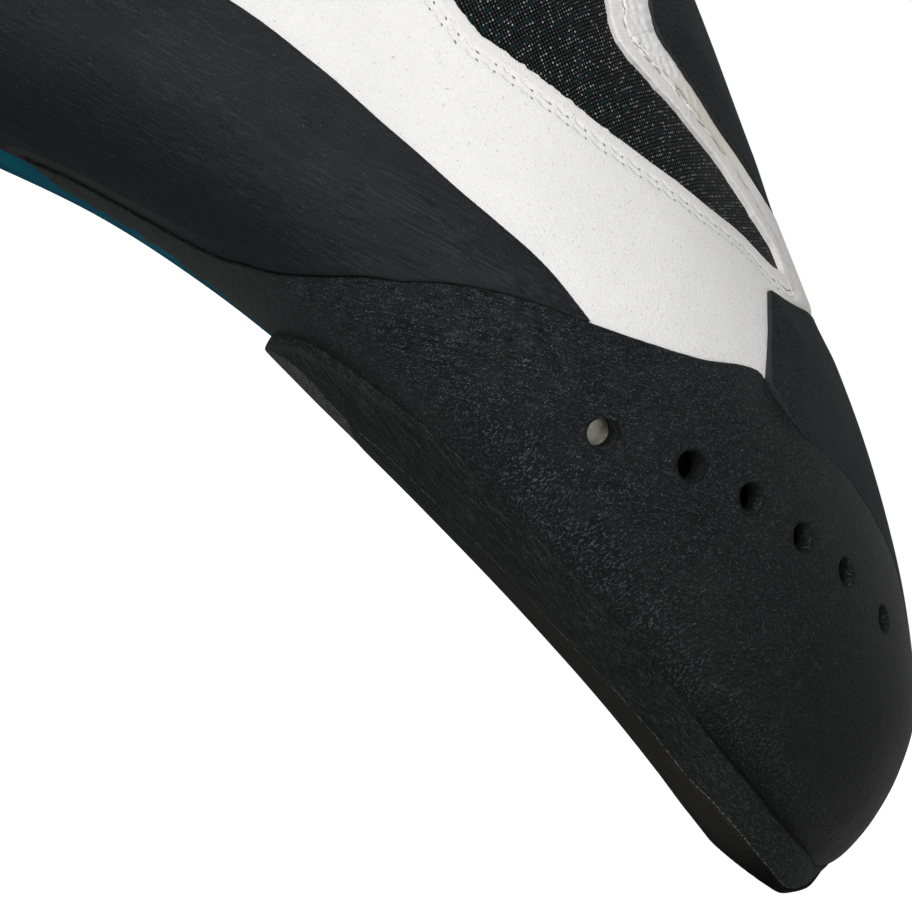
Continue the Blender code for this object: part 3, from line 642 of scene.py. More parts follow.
def cut_vents(rand):
    """Six holes through the rand, slanted, with a small bevel outside."""
    sides = 40
    bottom, below_bevel, bevel, top = -0.5 * MM, 1.9 * MM, 2.25 * MM, 3.4 * MM
    rings = ((bottom, 1.0), (below_bevel, 1.0), (bevel, 1.12), (top, 1.12))
    points = []
    faces = []
    for station, around in VENT_HOLES:
        centre = surface(np.array(station), np.array(-around))
        axis = normals(np.array(station), np.array(-around))
        side = np.cross(axis, (0, 0, 1))
        side /= np.linalg.norm(side)
        rise = np.cross(side, axis)
        lean = VENT_LEAN * side
        first = len(points)
        angles = np.linspace(0, 2 * np.pi, sides, endpoint=False)
        arms = np.outer(np.cos(angles), side) + np.outer(np.sin(angles), rise)
        for level, radius in rings:
            slid = centre + axis * level + lean * (level - RAND_OUTSIDE)
            points.extend(slid + arms * VENT_RADIUS * radius)
        for ring in range(3):
            for step in range(sides):
                after = (step + 1) % sides
                low = first + ring * sides
                faces.append([low + step, low + step + sides, low + after + sides, low + after])
        faces.append([first + step for step in range(sides)])
        faces.append([first + 3 * sides + step for step in reversed(range(sides))])
    mesh = bpy.data.meshes.new("vents")
    mesh.from_pydata([tuple(point) for point in points], [], faces)
    punch = add_object("vents", mesh)
    cut = rand.modifiers.new("vents", "BOOLEAN")
    cut.object = punch
    cut.operation = "DIFFERENCE"
    cut.solver = "EXACT"
    graph = bpy.context.evaluated_depsgraph_get()
    result = bpy.data.meshes.new_from_object(rand.evaluated_get(graph))
    rand.modifiers.clear()
    rand.data = result
    rand.data.set_sharp_from_angle(angle=SHARP_ANGLE)
    bpy.data.objects.remove(punch)


def build_heel_rand():
    stations = spread((TENSION_FRONT, 12.0, 170), (12.0, TENSION_REAR, 170))
    tucked = stations <= RAND_REAR
    outer_top = edge(TENSION_TOP_OUTER, stations)
    inner_top = edge(TENSION_TOP_INNER, stations)
    sole = edge(MIDSOLE_EDGE, stations) + 0.003
    sole = np.where(stations > 14.0, sole * (1 - ramp(stations, 14.0, 14.4)), sole)
    outer_foot = np.where(tucked, edge(RAND_TOP_OUTER, stations) - 0.014, sole)
    inner_foot = np.where(tucked, edge(RAND_TOP_INNER, stations) - 0.014, sole)
    outer_top = np.maximum(outer_top, outer_foot + 0.001)
    inner_top = np.maximum(inner_top, inner_foot + 0.001)
    rim = np.minimum(0.010, 0.4 * (outer_top - outer_foot))
    around = lines(
        (-outer_top, -outer_top + rim, 6), (-outer_top + rim, -outer_foot, 90),
        (-outer_foot, inner_foot, 1),
        (inner_foot, inner_top - rim, 60), (inner_top - rim, inner_top, 6),
    )
    grid = Grid(stations, around)
    kept = without(6 + 90, around)
    outer_line = edge_line(TENSION_TOP_OUTER, -1, TENSION_FRONT, TENSION_REAR)
    inner_line = edge_line(TENSION_TOP_INNER, 1, TENSION_FRONT, TENSION_REAR)
    from_top = grid.to_line(np.concatenate([outer_line, inner_line]))
    from_rear = grid.to_rear
    level = heel_level(np.minimum(from_top, from_rear))
    round_edge = 1 - bead(np.minimum(from_top, from_rear), 0.30 * MM)
    level = level - 0.20 * MM * round_edge
    level = level + 0.30 * MM * ramp(grid.station, 11.3, 13.5) * ramp(from_top, 4 * MM, 20 * MM)
    from_joint = grid.to_line(np.concatenate([
        edge_line(RAND_TOP_OUTER, -1, TENSION_FRONT, RAND_REAR),
        edge_line(RAND_TOP_INNER, 1, TENSION_FRONT, RAND_REAR),
    ]))
    level = level - 0.30 * MM * (1 - bead(from_joint, 0.6 * MM))
    return shell("heel_rand_rubber", grid, level, RUBBER_UNDERSIDE, kept, marks={
        "edge": from_top / MM, "station": grid.station, "around": np.abs(grid.around),
        "joint": from_joint / MM,
    })


def patch_outline():
    """Points along the toe patch's edges, and across its rear end."""
    return np.concatenate([
        edge_line(PATCH_LEFT, 0, PATCH_FRONT, 7.07), edge_line(PATCH_NOTCH, 0, 6.9, 7.07),
        edge_line(PATCH_FAR, 0, 6.9, PATCH_REAR), edge_line(PATCH_INNER, 0, PATCH_FRONT, PATCH_REAR),
        surface(np.full(80, PATCH_REAR), 1 - np.linspace(0.06, 0.14, 80)),
    ])


def build_toe_patch():
    """One piece with a notch in it, where the white of the upper comes through."""
    stations = spread((PATCH_FRONT, 6.88, 110), (6.88, 7.1, 70), (7.1, PATCH_REAR, 140))
    left = edge(PATCH_LEFT, stations)
    inner = np.maximum(edge(PATCH_INNER, stations), left)
    notch = np.clip(edge(PATCH_NOTCH, stations), left, np.maximum(inner, left))
    far = np.minimum(edge(PATCH_FAR, stations), inner)
    rim = 0.3 * np.minimum(0.030, notch - left)
    far_rim = 0.3 * np.minimum(0.030, inner - far)
    turns = lines(
        (left, left + rim, 5), (left + rim, notch, 24), (notch, far, 1), (far, far + far_rim, 5),
        (far + far_rim, inner - far_rim, 60), (inner - far_rim, inner, 5),
    )
    kept = without(5 + 24, turns)
    grid = Grid(stations, 1 - turns[:, ::-1])
    from_edge = grid.to_line(patch_outline())
    on_white = ramp(grid.station, 6.3, 6.7)
    thinned = 0.95 * MM - 0.60 * MM * ramp(grid.station, 7.25, 7.5) * ramp(grid.station, 8.3, 7.9)
    crossing = ramp(grid.station, 7.2, 7.1) * ramp(1 - grid.around, -0.10, -0.03)
    thinned = thinned - 0.45 * MM * crossing
    level = RAND_OUTSIDE - on_white * thinned * (1 - ramp(from_edge, 0, 8 * MM))
    level = level - 0.25 * MM * (1 - bead(from_edge, 0.30 * MM))
    return shell("toe_patch_rubber", grid, level, RUBBER_UNDERSIDE, kept[:, ::-1], marks={
        "edge": from_edge / MM, "station": grid.station,
    })


def frayed(station, seed):
    """The small unevenness of a cut edge, as a share of the way round."""
    return 0.0011 * wobble(station, 0.12, seed)


def crest_rise(grid, from_patch=None):
    """The upper is padded where it crosses the crest between the two arms of the patch."""
    turn = (2 - grid.around) % 2 - 1
    rise = ramp(turn, -0.130, -0.030) * ramp(turn, 0.120, 0.065)
    rise = rise * ramp(grid.station, 6.75, 7.0) * ramp(grid.station, 8.5, 7.7)
    if from_patch is None:
        return CREST_RISE * rise
    covered = (turn > edge(PATCH_FAR, grid.station)) & (grid.station > 6.9)
    near = np.where(covered, -from_patch, from_patch)
    beside = 0.30 + 0.70 * ramp(near, 0.0, 1.3 * MM)
    return CREST_RISE * rise * np.where(near > 0, beside, 0.30 * ramp(near, -0.4 * MM, 0.0))


def build_outer_panel():
    stations = spread((5.9, 7.17, 70), (7.17, 8.0, 160), (8.0, 11.0, 300), (11.0, COLLAR, 160))
    low = cover(stations, RAND_TOP_OUTER, TENSION_TOP_OUTER) - 0.025
    high = 1 + edge(MESH_OUTER, stations) + frayed(stations, 5) * ramp(stations, 7.2, 7.4)
    high = np.maximum(high, low + 0.01)
    rim = np.minimum(0.012, 0.4 * (high - low))
    around = -lines((low, high - rim, 80), (high - rim, high, 8))
    grid = Grid(stations, around)
    from_mesh, place = grid.nearest(edge_line(MESH_OUTER, 0, MESH_FRONT, COLLAR))
    level = PANEL_OUTSIDE - 0.32 * MM * (1 - bead(from_mesh, 0.40 * MM))
    seam = np.exp(-((from_mesh - 2.7 * MM) / (1.1 * MM)) ** 2)
    level = level - 0.16 * MM * seam
    level = level + crest_rise(grid, grid.to_line(patch_outline()))
    return shell("outer_panel", grid, level, PANEL_UNDERSIDE, marks={
        "edge": from_mesh / MM, "station": grid.station, "run": place * LINE_PITCH / MM,
    })


def build_inner_panel():
    stations = spread((6.6, 7.17, 20), (7.17, 8.2, 160), (8.2, 11.0, 260), (11.0, COLLAR, 150))
    high = 1 - edge(MESH_INNER, stations) + frayed(stations, 9) * ramp(stations, 7.2, 7.4)
    low = cover(stations, RAND_TOP_INNER, TENSION_TOP_INNER) - 0.025
    rim = np.full(len(stations), 0.05)
    around = lines((low, high - rim, 70), (high - rim, high, 40))
    grid = Grid(stations, around)
    from_mesh, place = grid.nearest(edge_line(MESH_INNER, 0, MESH_FRONT, COLLAR))
    from_patch = grid.to_line(patch_outline())
    level = PANEL_OUTSIDE - 0.32 * MM * (1 - bead(from_mesh, 0.45 * MM))
    torn = 2.4 * MM + 0.35 * MM * noise(grid.base, 4 * MM, 21)
    raised = ramp(grid.station, 7.9, 8.6) * ramp(from_patch, 0.1 * MM, 0.9 * MM)
    level = level + 0.40 * MM * raised * ramp(from_mesh - torn, -0.15 * MM, 0.35 * MM)
    puckers = noise(grid.base, 1.7 * MM, 27) * ramp(from_mesh, torn, torn + 1 * MM)
    level = level + 0.10 * MM * raised * puckers + crest_rise(grid, from_patch)
    return shell("inner_panel", grid, level, PANEL_UNDERSIDE, marks={
        "edge": from_mesh / MM, "station": grid.station, "run": place * LINE_PITCH / MM,
        "torn": (from_mesh - torn) / MM, "patch": from_patch / MM,
    })


def build_mesh_panel():
    stations = spread((7.1, 12.0, 170), (12.0, COLLAR, 120))
    low = edge(MESH_OUTER, stations) - 0.02
    high = edge(MESH_INNER, stations) + 0.02
    grid = Grid(stations, 1 - lines((high, low, 70)))
    middle = surface(stations, np.full(len(stations), 1.2))
    run = run_along(middle)
    turns = 1 - grid.around
    across = np.array([
        row - np.interp(-0.2, turn[::-1], row[::-1]) for row, turn in zip(grid.from_low, turns)
    ])
    level = -0.45 * MM + crest_rise(grid)
    return shell("mesh_panel", grid, level, -1.0 * MM, marks={
        "station": grid.station, "warp": np.repeat(run[:, None], turns.shape[1], axis=1) / MM,
        "weft": across / MM,
    })


def build_lining():
    """The upper's wall under the panels, and its inside."""
    rows = 150
    around = lines((np.full(rows, -1.0), np.ones(rows), 130))
    grid = Grid(np.linspace(0.4, COLLAR, rows), around)
    level = -0.55 * MM - 1.0 * MM * ramp(grid.station, 7.15, 6.95)
    outside = shell("upper_base", grid, level, WALL_INSIDE, marks={"station": grid.station})
    inside = shell("upper_lining", grid, WALL_INSIDE, WALL_INSIDE)
    inside.data.flip_normals()
    return [outside, inside]


def build_midsole():
    stations = np.linspace(MIDSOLE_FRONT, MIDSOLE_REAR, 260)
    half = edge(MIDSOLE_EDGE, stations) + edge(TEAL_MORE, stations)
    grid = Grid(stations, lines((-half, half, 40)))
    return shell("midsole_board", grid, MIDSOLE_OUTSIDE, MIDSOLE_OUTSIDE - MIDSOLE_THICKNESS, closed=True)


def build_outsole_front():
    stations = spread((SOLE_FRONT, 2.4, 70), (2.4, 8.6, 260), (8.6, SOLE_REAR, 50))
    joint = edge(SOLE_JOINT, stations)
    corner = joint * edge(SOLE_EDGE_SHARE, stations)
    rim = np.minimum(0.004, 0.2 * (joint - corner))
    around = lines(
        (-joint, -joint + rim, 6), (-joint + rim, -corner - rim, 30), (-corner - rim, -corner, 5),
        (-corner, -corner + rim, 5), (-corner + rim, corner - rim, 60), (corner - rim, corner, 5),
        (corner, corner + rim, 5), (corner + rim, joint - rim, 30), (joint - rim, joint, 6),
    )
    grid = Grid(stations, around)
    wide = np.repeat(joint[:, None], around.shape[1], axis=1)
    flat = np.repeat(corner[:, None], around.shape[1], axis=1)
    share = np.clip((wide - np.abs(around)) / np.maximum(wide - flat, 1e-6), 0, 1)
    full = SOLE_OVER_RAND * edge(SOLE_DEPTH_SHARE, grid.station)
    step = np.minimum(edge(SOLE_STEP_MM, grid.station) * MM, full)
    blended = 1 - (1 - share) ** 1.25
    level = RAND_OUTSIDE + step + (full - step) * blended
    from_joint = grid.to_line(np.concatenate([
        edge_line(SOLE_JOINT, side, SOLE_FRONT, SOLE_REAR) for side in (-1, 1)
    ]))
    level = level - (step + 0.05 * MM) * (1 - bead(from_joint, 0.35 * MM))
    from_corner = np.abs(np.abs(around) - flat) * 0.1
    level = level - 0.15 * MM * (1 - bead(from_corner, 0.4 * MM)) * ramp(full, 0.5 * MM, 2 * MM)
    past_line = (share - edge(SOLE_LINE_SHARE, grid.station)) * (wide - flat) * 0.1
    level = level - 0.10 * MM * np.exp(-(past_line / (0.16 * MM)) ** 2)
    return shell("sole_rubber", grid, level, SOLE_UNDERSIDE, floor=0.0, marks={
        "share": share, "station": grid.station, "joint": from_joint / MM,
        "line": past_line / MM,
    })


def build_outsole_heel():
    stations = np.linspace(HEEL_SOLE_FRONT, HEEL_SOLE_REAR, 120)
    half = edge(HEEL_SOLE_EDGE, stations)
    rim = 0.06 * half
    grid = Grid(stations, lines(
        (-half, -half + rim, 5), (-half + rim, half - rim, 70), (half - rim, half, 5),
    ))
    wide = np.repeat(half[:, None], grid.around.shape[1], axis=1)
    skived = np.minimum(1.0, 0.35 + (grid.station - HEEL_SOLE_FRONT) / 0.9)
    skived = np.minimum(skived, 0.45 + (HEEL_SOLE_REAR - grid.station) / 0.9)
    near = ramp(np.abs(grid.around) / wide, 1.0, 0.88)
    skived = np.minimum(skived, 0.7 + 0.3 * near)
    level = SOLE_INSIDE + HEEL_SOLE_THICKNESS * skived
    return shell("heel_sole_rubber", grid, level, SOLE_UNDERSIDE, floor=0.0, marks={
        "share": np.ones(grid.station.shape), "joint": np.full(grid.station.shape, 9.0),
        "line": np.full(grid.station.shape, 9.0), "station": grid.station,
    })


def build_insole():
    stations = np.linspace(INSOLE_FRONT, INSOLE_REAR, 160)
    half = edge(INSOLE_EDGE, stations)
    grid = Grid(stations, lines((-half, half, 40)))
    return shell("footbed", grid, FOOTBED_TOP, FOOTBED_UNDERSIDE, closed=True)


def build_binding():
    around = np.linspace(-1, 1, 260)[:-1]
    collar = np.full(len(around), float(COLLAR))
    rim = surface(collar, around)
    reach = 1.0 + 1.8 * (1 - np.abs(around)) ** 2
    below = surface(collar - reach, around)
    outward = normals(collar, around)
    upward = rim - below
    upward /= np.linalg.norm(upward, axis=1, keepdims=True)
    centre = -0.9 * MM
    half = 1.75 * MM
    profile = [(centre + half, -2.8 * MM)]
    for angle in np.linspace(0, np.pi, 13):
        profile.append((centre + half * np.cos(angle), 0.2 * MM + 0.9 * MM * np.sin(angle)))
    profile.append((centre - half, -2.8 * MM))
    profile.append((centre - half + 0.7 * MM, -3.0 * MM))
    profile.append((centre + half - 0.7 * MM, -3.0 * MM))
    points = []
    for level, height in profile:
        points.append(rim + outward * level + upward * height)
    points = np.concatenate(points)
    count = len(around)
    faces = []
    for ring in range(len(profile)):
        following = (ring + 1) % len(profile)
        for step in range(count):
            after = (step + 1) % count
            faces.append([
                ring * count + step, ring * count + after, following * count + after,
                following * count + step,
            ])
    return piece("collar_tape", points, faces)


def rough_rubber():
    """Buffed black rubber: short ridges, grain, brushing, and a few long scratches, with painted
    highlights on the ridge crests, painted glints, and painted shade towards the toe and along the top
    edge.
    """
    look = Look("buffed rubber", roughness=0.40, specular=0.22)
    across = look.turned((0.24, 0.50, 0.62), y=-14)
    ridges = look.range(look.noise(1.0, 1, 0.45, across, distortion=0.1), 0.44, 0.66)
    fine = look.turned((0.15, 0.20, 0.22), y=-12)
    grain = look.range(look.noise(1.0, 1, 0.5, fine), 0.40, 0.64)
    swell = look.noise(2.6 * MM, 3, 0.55)
    broad = look.noise(14 * MM, 3, 0.55)
    patchy = look.range(look.noise(5 * MM, 3, 0.6), 0.42, 0.56)
    level = look.turned((12, 1.2, 0.7), y=23)
    cuts = look.times(look.hairs(level, 0.016), look.range(swell, 0.47, 0.56))
    brush = look.turned((2.2, 0.6, 0.24), y=26)
    brushed = look.range(look.noise(1.0, 2, 0.5, brush), 0.42, 0.64)
    around = look.mark("around")
    station = look.mark("station")
    band = look.times(look.range(around, 0.34, 0.38), look.range(around, 0.53, 0.45))
    band = look.times(band, look.range(station, 8.0, 6.8))
    rough = look.math("MULTIPLY_ADD", patchy, 0.45, 0.55)
    plain_crest = look.total((grain, 0.50), (ridges, 0.22), (brushed, 0.28))
    band_crest = look.total((ridges, 0.80), (grain, 0.20))
    crest = look.mix(band, plain_crest, band_crest)
    height = look.total((look.times(crest, rough), 1.9), (swell, 1.0), (cuts, -1.2))
    light = look.times(look.range(crest, 0.42, 0.92), rough)
    tone = look.mix(look.range(broad, 0.3, 0.7), (0.0048, 0.0061, 0.0068), (0.0088, 0.0102, 0.0106))
    tail = look.range(station, 9.0, 9.7)
    tone = look.mix(tail, tone, (0.0150, 0.0130, 0.0118))
    # Painted highlight: the ridge crests are made lighter in the colour, in place of the lamp's light
    # caught on them.
    tone = look.mix(light, tone, (0.082, 0.094, 0.096))
    # Painted glints: small light specks in the colour, more of them in the wrinkled band.
    speck = look.range(look.noise(0.22 * MM, 1, 0.5), 0.705, 0.755)
    speck_share = look.math("MULTIPLY_ADD", band, 0.25, 0.70)
    tone = look.over(tone, speck, speck_share, (0.34, 0.36, 0.355))
    tone = look.over(tone, cuts, 0.90, (0.0010, 0.0010, 0.0010))
    # Painted shade: the colour darkens from station 8 towards the toe, down to 80 % black.
    tone = look.mix(look.range(station, 8.0, 2.0, 0.0, 0.80), tone, (0.0, 0.0, 0.0))
    # Painted shade: the colour darkens within 0.3 mm of the top edge, in the groove where the rand meets
    # the next piece.
    rim = look.times(look.range(look.mark("edge"), 0.30, 0.05), 0.7)
    tone = look.mix(rim, tone, (0.004, 0.004, 0.004))
    look.set(Base_Color=tone, Normal=look.bump(height, 0.24 * MM))
    return look.material


def smooth_rubber(name, colour, roughness, brushed, lined_share, grain_share, jointed=False):
    """Black rubber with a brushed finish and painted glints, and on the heel rand a painted highlight band
    beside the joint, in place of a bevel, and painted shade in the joint.
    """
    look = Look(name, roughness=roughness, specular=0.16)
    lined = look.turned((9, 0.6, 0.26), y=brushed)
    fine = look.range(look.noise(1.0, 2, 0.6, lined), 0.40, 0.70)
    grain = look.range(look.noise(0.26 * MM, 1, 0.5), 0.44, 0.68)
    broad = look.noise(20 * MM, 3, 0.5)
    streaks = look.turned((40, 20, 9), y=brushed)
    streak = look.range(look.noise(1.0, 2, 0.5, streaks), 0.44, 0.62)
    long_lines = look.turned((26, 2, 1.2), y=brushed + 3)
    cuts = look.times(look.hairs(long_lines, 0.006), look.range(broad, 0.45, 0.6))
    height = look.total((fine, 0.40), (grain, 0.40), (look.noise(3 * MM, 2, 0.5), 0.8), (cuts, -0.6))
    tone = look.mix(look.range(broad, 0.3, 0.7), colour, tuple(1.35 * c for c in colour))
    brush = look.times(fine, look.math("MULTIPLY_ADD", streak, 0.65, 0.35))
    tone = look.over(tone, brush, lined_share, tuple(6.5 * c for c in colour))
    tone = look.over(tone, grain, grain_share, tuple(6.0 * c for c in colour))
    # Painted glints: small light specks in the colour.
    speck = look.range(look.noise(0.20 * MM, 1, 0.5), 0.72, 0.77)
    tone = look.over(tone, speck, 0.6, (0.15, 0.16, 0.16))
    tone = look.over(tone, cuts, 0.35, (0.002, 0.002, 0.002))
    raw = look.range(look.mark("edge"), 0.16, 0.02)
    tone = look.over(tone, raw, 0.4, (0.05, 0.05, 0.048))
    if jointed:
        # Painted highlight: a lighter band up to 3.6 mm from the joint, mostly further back, standing for
        # light on a bevel the shape doesn't have.
        joint = look.mark("joint")
        bevel = look.times(look.range(joint, 3.6, 2.4), look.range(joint, 0.4, 2.2))
        rear = look.range(look.mark("station"), 9.5, 10.7)
        bevel = look.times(bevel, look.math("MULTIPLY_ADD", rear, 0.90, 0.05))
        tone = look.over(tone, bevel, 0.85, (0.042, 0.038, 0.033))
        # Painted shade: near black within 0.34 mm of the joint with the toe rand.
        tone = look.mix(look.range(joint, 0.34, 0.12), tone, (0.0005, 0.0005, 0.0005))
    look.set(
        Base_Color=tone, Normal=look.bump(height, 0.09 * MM),
        Roughness=look.range(broad, 0.3, 0.7, roughness - 0.05, roughness + 0.06),
    )
    return look.material


def sole_rubber():
    """Ground black rubber, with painted highlights on the corner line of its side and on the rear lip,
    painted shade in the front crease and under the toe, a painted lighter strip past the corner, and
    painted glints.
    """
    look = Look("sole rubber", roughness=0.55, specular=0.14)
    lined = look.turned((5, 0.8, 0.26), y=-14)
    ground = look.range(look.noise(1.0, 3, 0.6, lined), 0.40, 0.68)
    grain = look.range(look.noise(0.15 * MM, 1, 0.5), 0.40, 0.66)
    broad = look.noise(12 * MM, 3, 0.5)
    height = look.total((ground, 0.45), (grain, 0.55), (look.noise(2.2 * MM, 2, 0.5), 0.8))
    tone = look.mix(look.range(broad, 0.3, 0.7), (0.0056, 0.0063, 0.0064), (0.0088, 0.0094, 0.0092))
    # Lighter ground lines and grain: partly the marks of grinding, partly painted highlight on the relief.
    light = look.total((ground, 0.45), (grain, 0.55))
    light = look.range(light, 0.30, 1.05)
    tone = look.mix(light, tone, (0.066, 0.071, 0.071))
    station = look.mark("station")
    line = look.mark("line")
    # Painted light: a lighter brownish strip past the corner line, in front of station 7.4, standing for a
    # bevel face lit differently.
    painted_light_strip = look.times(look.range(line, 0.0, 0.1), look.range(station, 7.4, 6.0))
    tone = look.over(tone, painted_light_strip, 0.72, (0.0225, 0.0200, 0.0182))
    # Painted shade: the underside past the corner line is made near black at the toe.
    toe = look.times(look.range(line, 0.0, 0.1), look.range(station, 3.6, 2.6))
    tone = look.mix(toe, tone, (0.0008, 0.0008, 0.0008))
    # Painted glints: small light specks in the colour.
    speck = look.range(look.noise(0.26 * MM, 1, 0.5), 0.70, 0.76)
    tone = look.over(tone, speck, 0.5, (0.17, 0.17, 0.17))
    # Painted highlight: a pale broken line along the corner of the sole's side, where the edge would catch
    # the light.
    crisp = look.range(look.math("ABSOLUTE", line), 0.22, 0.04)
    patchy = look.times(crisp, look.range(look.noise(0.42 * MM, 2, 0.6), 0.44, 0.58))
    tone = look.over(tone, patchy, 0.85, (0.215, 0.215, 0.21))
    joint = look.mark("joint")
    # Painted shade: near black within 0.26 mm of the joint, at the front.
    painted_crease_shade = look.times(look.range(joint, 0.26, 0.08), look.range(station, 5.0, 4.4))
    tone = look.mix(painted_crease_shade, tone, (0.0015, 0.0015, 0.0015))
    # Painted highlight: a lighter band 0.3 to 1.3 mm from the joint on the sole's rear lip.
    painted_lip_highlight = look.times(look.range(joint, 1.3, 0.7), look.range(joint, 0.3, 0.6))
    painted_lip_highlight = look.times(painted_lip_highlight, look.range(station, 7.6, 8.2))
    tone = look.over(tone, painted_lip_highlight, 0.45, (0.040, 0.040, 0.038))
    look.set(
        Base_Color=tone, Normal=look.bump(height, 0.16 * MM),
        Roughness=look.range(toe, 0.0, 1.0, 0.55, 0.95),
    )
    return look.material


def stitched(look, row, slide):
    """The height of one slanted row of stitches, and its needle holes."""
    turns = look.math("ADD", look.math("DIVIDE", look.mark("run"), STITCH_PITCH_MM), slide)
    along = look.math("SUBTRACT", look.math("FRACT", turns), 0.5)
    along = look.times(along, STITCH_PITCH_MM)
    across = look.math("SUBTRACT", look.mark("edge"), row)
    slant = look.math("MULTIPLY_ADD", along, 0.22, across)
    lens = look.reach(look.math("DIVIDE", along, 1.35), look.math("DIVIDE", slant, 0.45))
    past_end = look.math("ADD", along, 1.25)
    below = look.math("SUBTRACT", slant, 0.02)
    hole = look.reach(look.math("DIVIDE", past_end, 0.42), look.math("DIVIDE", below, 0.14))
    return look.range(lens, 1.0, 0.2), look.range(hole, 1.0, 0.4)


def microfibre():
    look = Look("white microfibre", roughness=0.85, specular=0.22)
    nap = look.range(look.noise(0.26 * MM, 3, 0.65), 0.3, 0.7)
    dimple = look.noise(1.1 * MM, 3, 0.55)
    broad = look.noise(16 * MM, 3, 0.5)
    pits = look.range(look.noise(0.34 * MM, 1, 0.5), 0.70, 0.77)
    first, first_hole = stitched(look, 2.15, 0.0)
    second, second_hole = stitched(look, 3.20, 0.18)
    rows = look.math("MAXIMUM", first, second)
    holes = look.math("MAXIMUM", first_hole, second_hole)
    height = look.total((nap, 0.62), (dimple, 1.0), (pits, -0.8), (rows, 1.4), (holes, -1.8))
    tone = look.mix(look.range(broad, 0.3, 0.7), (0.885, 0.880, 0.864), (0.920, 0.914, 0.900))
    tone = look.mix(look.range(nap, 0.6, 0.0, 0.0, 0.16), tone, (0.52, 0.51, 0.49))
    tone = look.over(tone, pits, 0.45, (0.34, 0.33, 0.31))
    border = look.range(look.mark("edge"), 1.8, 1.4)
    tone = look.over(tone, border, 0.6, (0.790, 0.780, 0.760))
    # Painted shade: the needle holes are dark in the colour.
    tone = look.over(tone, holes, 0.85, (0.10, 0.095, 0.09))
    look.set(Base_Color=tone, Normal=look.bump(height, 0.12 * MM))
    return look.material


def torn_strip():
    """The white on the inner side: fibres across a plain band, then a torn, puffy one."""
    look = Look("torn microfibre", roughness=0.88, specular=0.20)
    run = look.mark("run")
    torn = look.mark("torn")
    fibres = look.pair(look.math("DIVIDE", run, 0.22), look.math("DIVIDE", look.mark("edge"), 1.6))
    along = look.pair(look.math("DIVIDE", run, 5.0), look.math("DIVIDE", torn, 0.45))
    fibre = look.range(look.noise(1.0, 3, 0.6, fibres), 0.3, 0.7)
    nap = look.range(look.noise(0.26 * MM, 3, 0.65), 0.3, 0.7)
    lumps = look.noise(1.2 * MM, 3, 0.6)
    near_fold = look.times(look.range(torn, -0.5, 0.0), look.range(torn, 1.3, 0.4))
    hairs = look.times(look.hairs(along, 0.020), near_fold)
    puffy = look.range(torn, -0.1, 0.3)
    height = look.total((nap, 0.25), (fibre, 0.30), (lumps, 1.0), (hairs, -1.3))
    tone = look.mix(fibre, (0.76, 0.75, 0.72), (0.86, 0.85, 0.825))
    tone = look.mix(puffy, tone, (0.87, 0.865, 0.845))
    station = look.mark("station")
    cream = look.times(look.range(station, 8.7, 8.4), look.range(station, 7.75, 8.1))
    cream = look.times(cream, puffy)
    tone = look.over(tone, cream, 0.75, (0.80, 0.77, 0.66))
    tone = look.over(tone, hairs, 0.8, (0.26, 0.24, 0.21))
    dust = look.range(look.noise(0.30 * MM, 2, 0.5), 0.60, 0.68)
    dust = look.times(dust, look.range(look.mark("patch"), 2.2, 0.2))
    tone = look.over(tone, dust, 0.7, (0.20, 0.20, 0.18))
    look.set(Base_Color=tone, Normal=look.bump(height, 0.14 * MM))
    return look.material


def knit():
    """Black threads that glint where they cross, with small dark green windows."""
    look = Look("black knit", roughness=0.45, specular=0.06)
    flat = look.pair(look.mark("warp"), look.mark("weft"))
    wander = look.noise(5.0, 2, 0.5, flat)
    place = look.turned((KNIT_PITCH_MM,) * 3, z=-84, vector=flat, unit=1.0)
    split = look.node("SeparateXYZ", {"Vector": place}).outputs
    u = look.math("MULTIPLY_ADD", wander, 1.2, split[0])
    v = look.math("MULTIPLY_ADD", wander, -1.0, split[1])
    wave_u = look.math("ABSOLUTE", look.math("SINE", look.times(u, np.pi)))
    wave_v = look.math("ABSOLUTE", look.math("SINE", look.times(v, np.pi)))
    dots = look.times(wave_u, wave_v)
    thread = look.pair(look.math("FLOOR", u), look.math("FLOOR", v))
    chance = look.node("TexWhiteNoise", {"Vector": thread}, noise_dimensions="3D").outputs[0]
    bright = look.math("POWER", chance, 5.0)
    glint = look.times(look.range(dots, 0.45, 0.90), look.math("MULTIPLY_ADD", bright, 0.92, 0.08))
    row = look.math("FLOOR", look.math("DIVIDE", v, 4.0))
    cell = look.math("FRACT", look.math("DIVIDE", look.math("MULTIPLY_ADD", row, 2.6, u), 5.2))
    rise = look.math("FRACT", look.math("DIVIDE", v, 4.0))
    window = look.times(look.range(cell, 0.56, 0.50), look.range(rise, 0.30, 0.24))
    gate = look.range(look.noise(9.0, 2, 0.5, flat), 0.42, 0.52)
    window = look.times(window, gate)
    tone = look.mix(look.range(wave_u, 0.6, 1.0), (0.0005, 0.0006, 0.0007), (0.0070, 0.0078, 0.0080))
    # Painted glints: bright dots in the colour where the threads cross.
    tone = look.mix(glint, tone, (0.400, 0.415, 0.415))
    green = look.mix(look.times(dots, 0.5), (0.0040, 0.0160, 0.0135), (0.010, 0.034, 0.030))
    tone = look.over(tone, window, 0.95, green)
    height = look.math("SUBTRACT", dots, look.times(window, 0.8))
    look.set(Base_Color=tone, Normal=look.bump(height, 0.18 * MM))
    return look.material


def simple(name, colour, darker, roughness, size, depth, specular=0.3):
    look = Look(name, roughness=roughness, specular=specular)
    fine = look.noise(size, 4, 0.6)
    broad = look.noise(10 * MM, 3, 0.5)
    share = look.times(look.range(broad, 0.3, 0.7), 0.6)
    share = look.math("ADD", share, look.times(look.range(fine, 0.3, 0.7), 0.4))
    look.set(Base_Color=look.mix(share, darker, colour), Normal=look.bump(fine, depth))
    return look.material


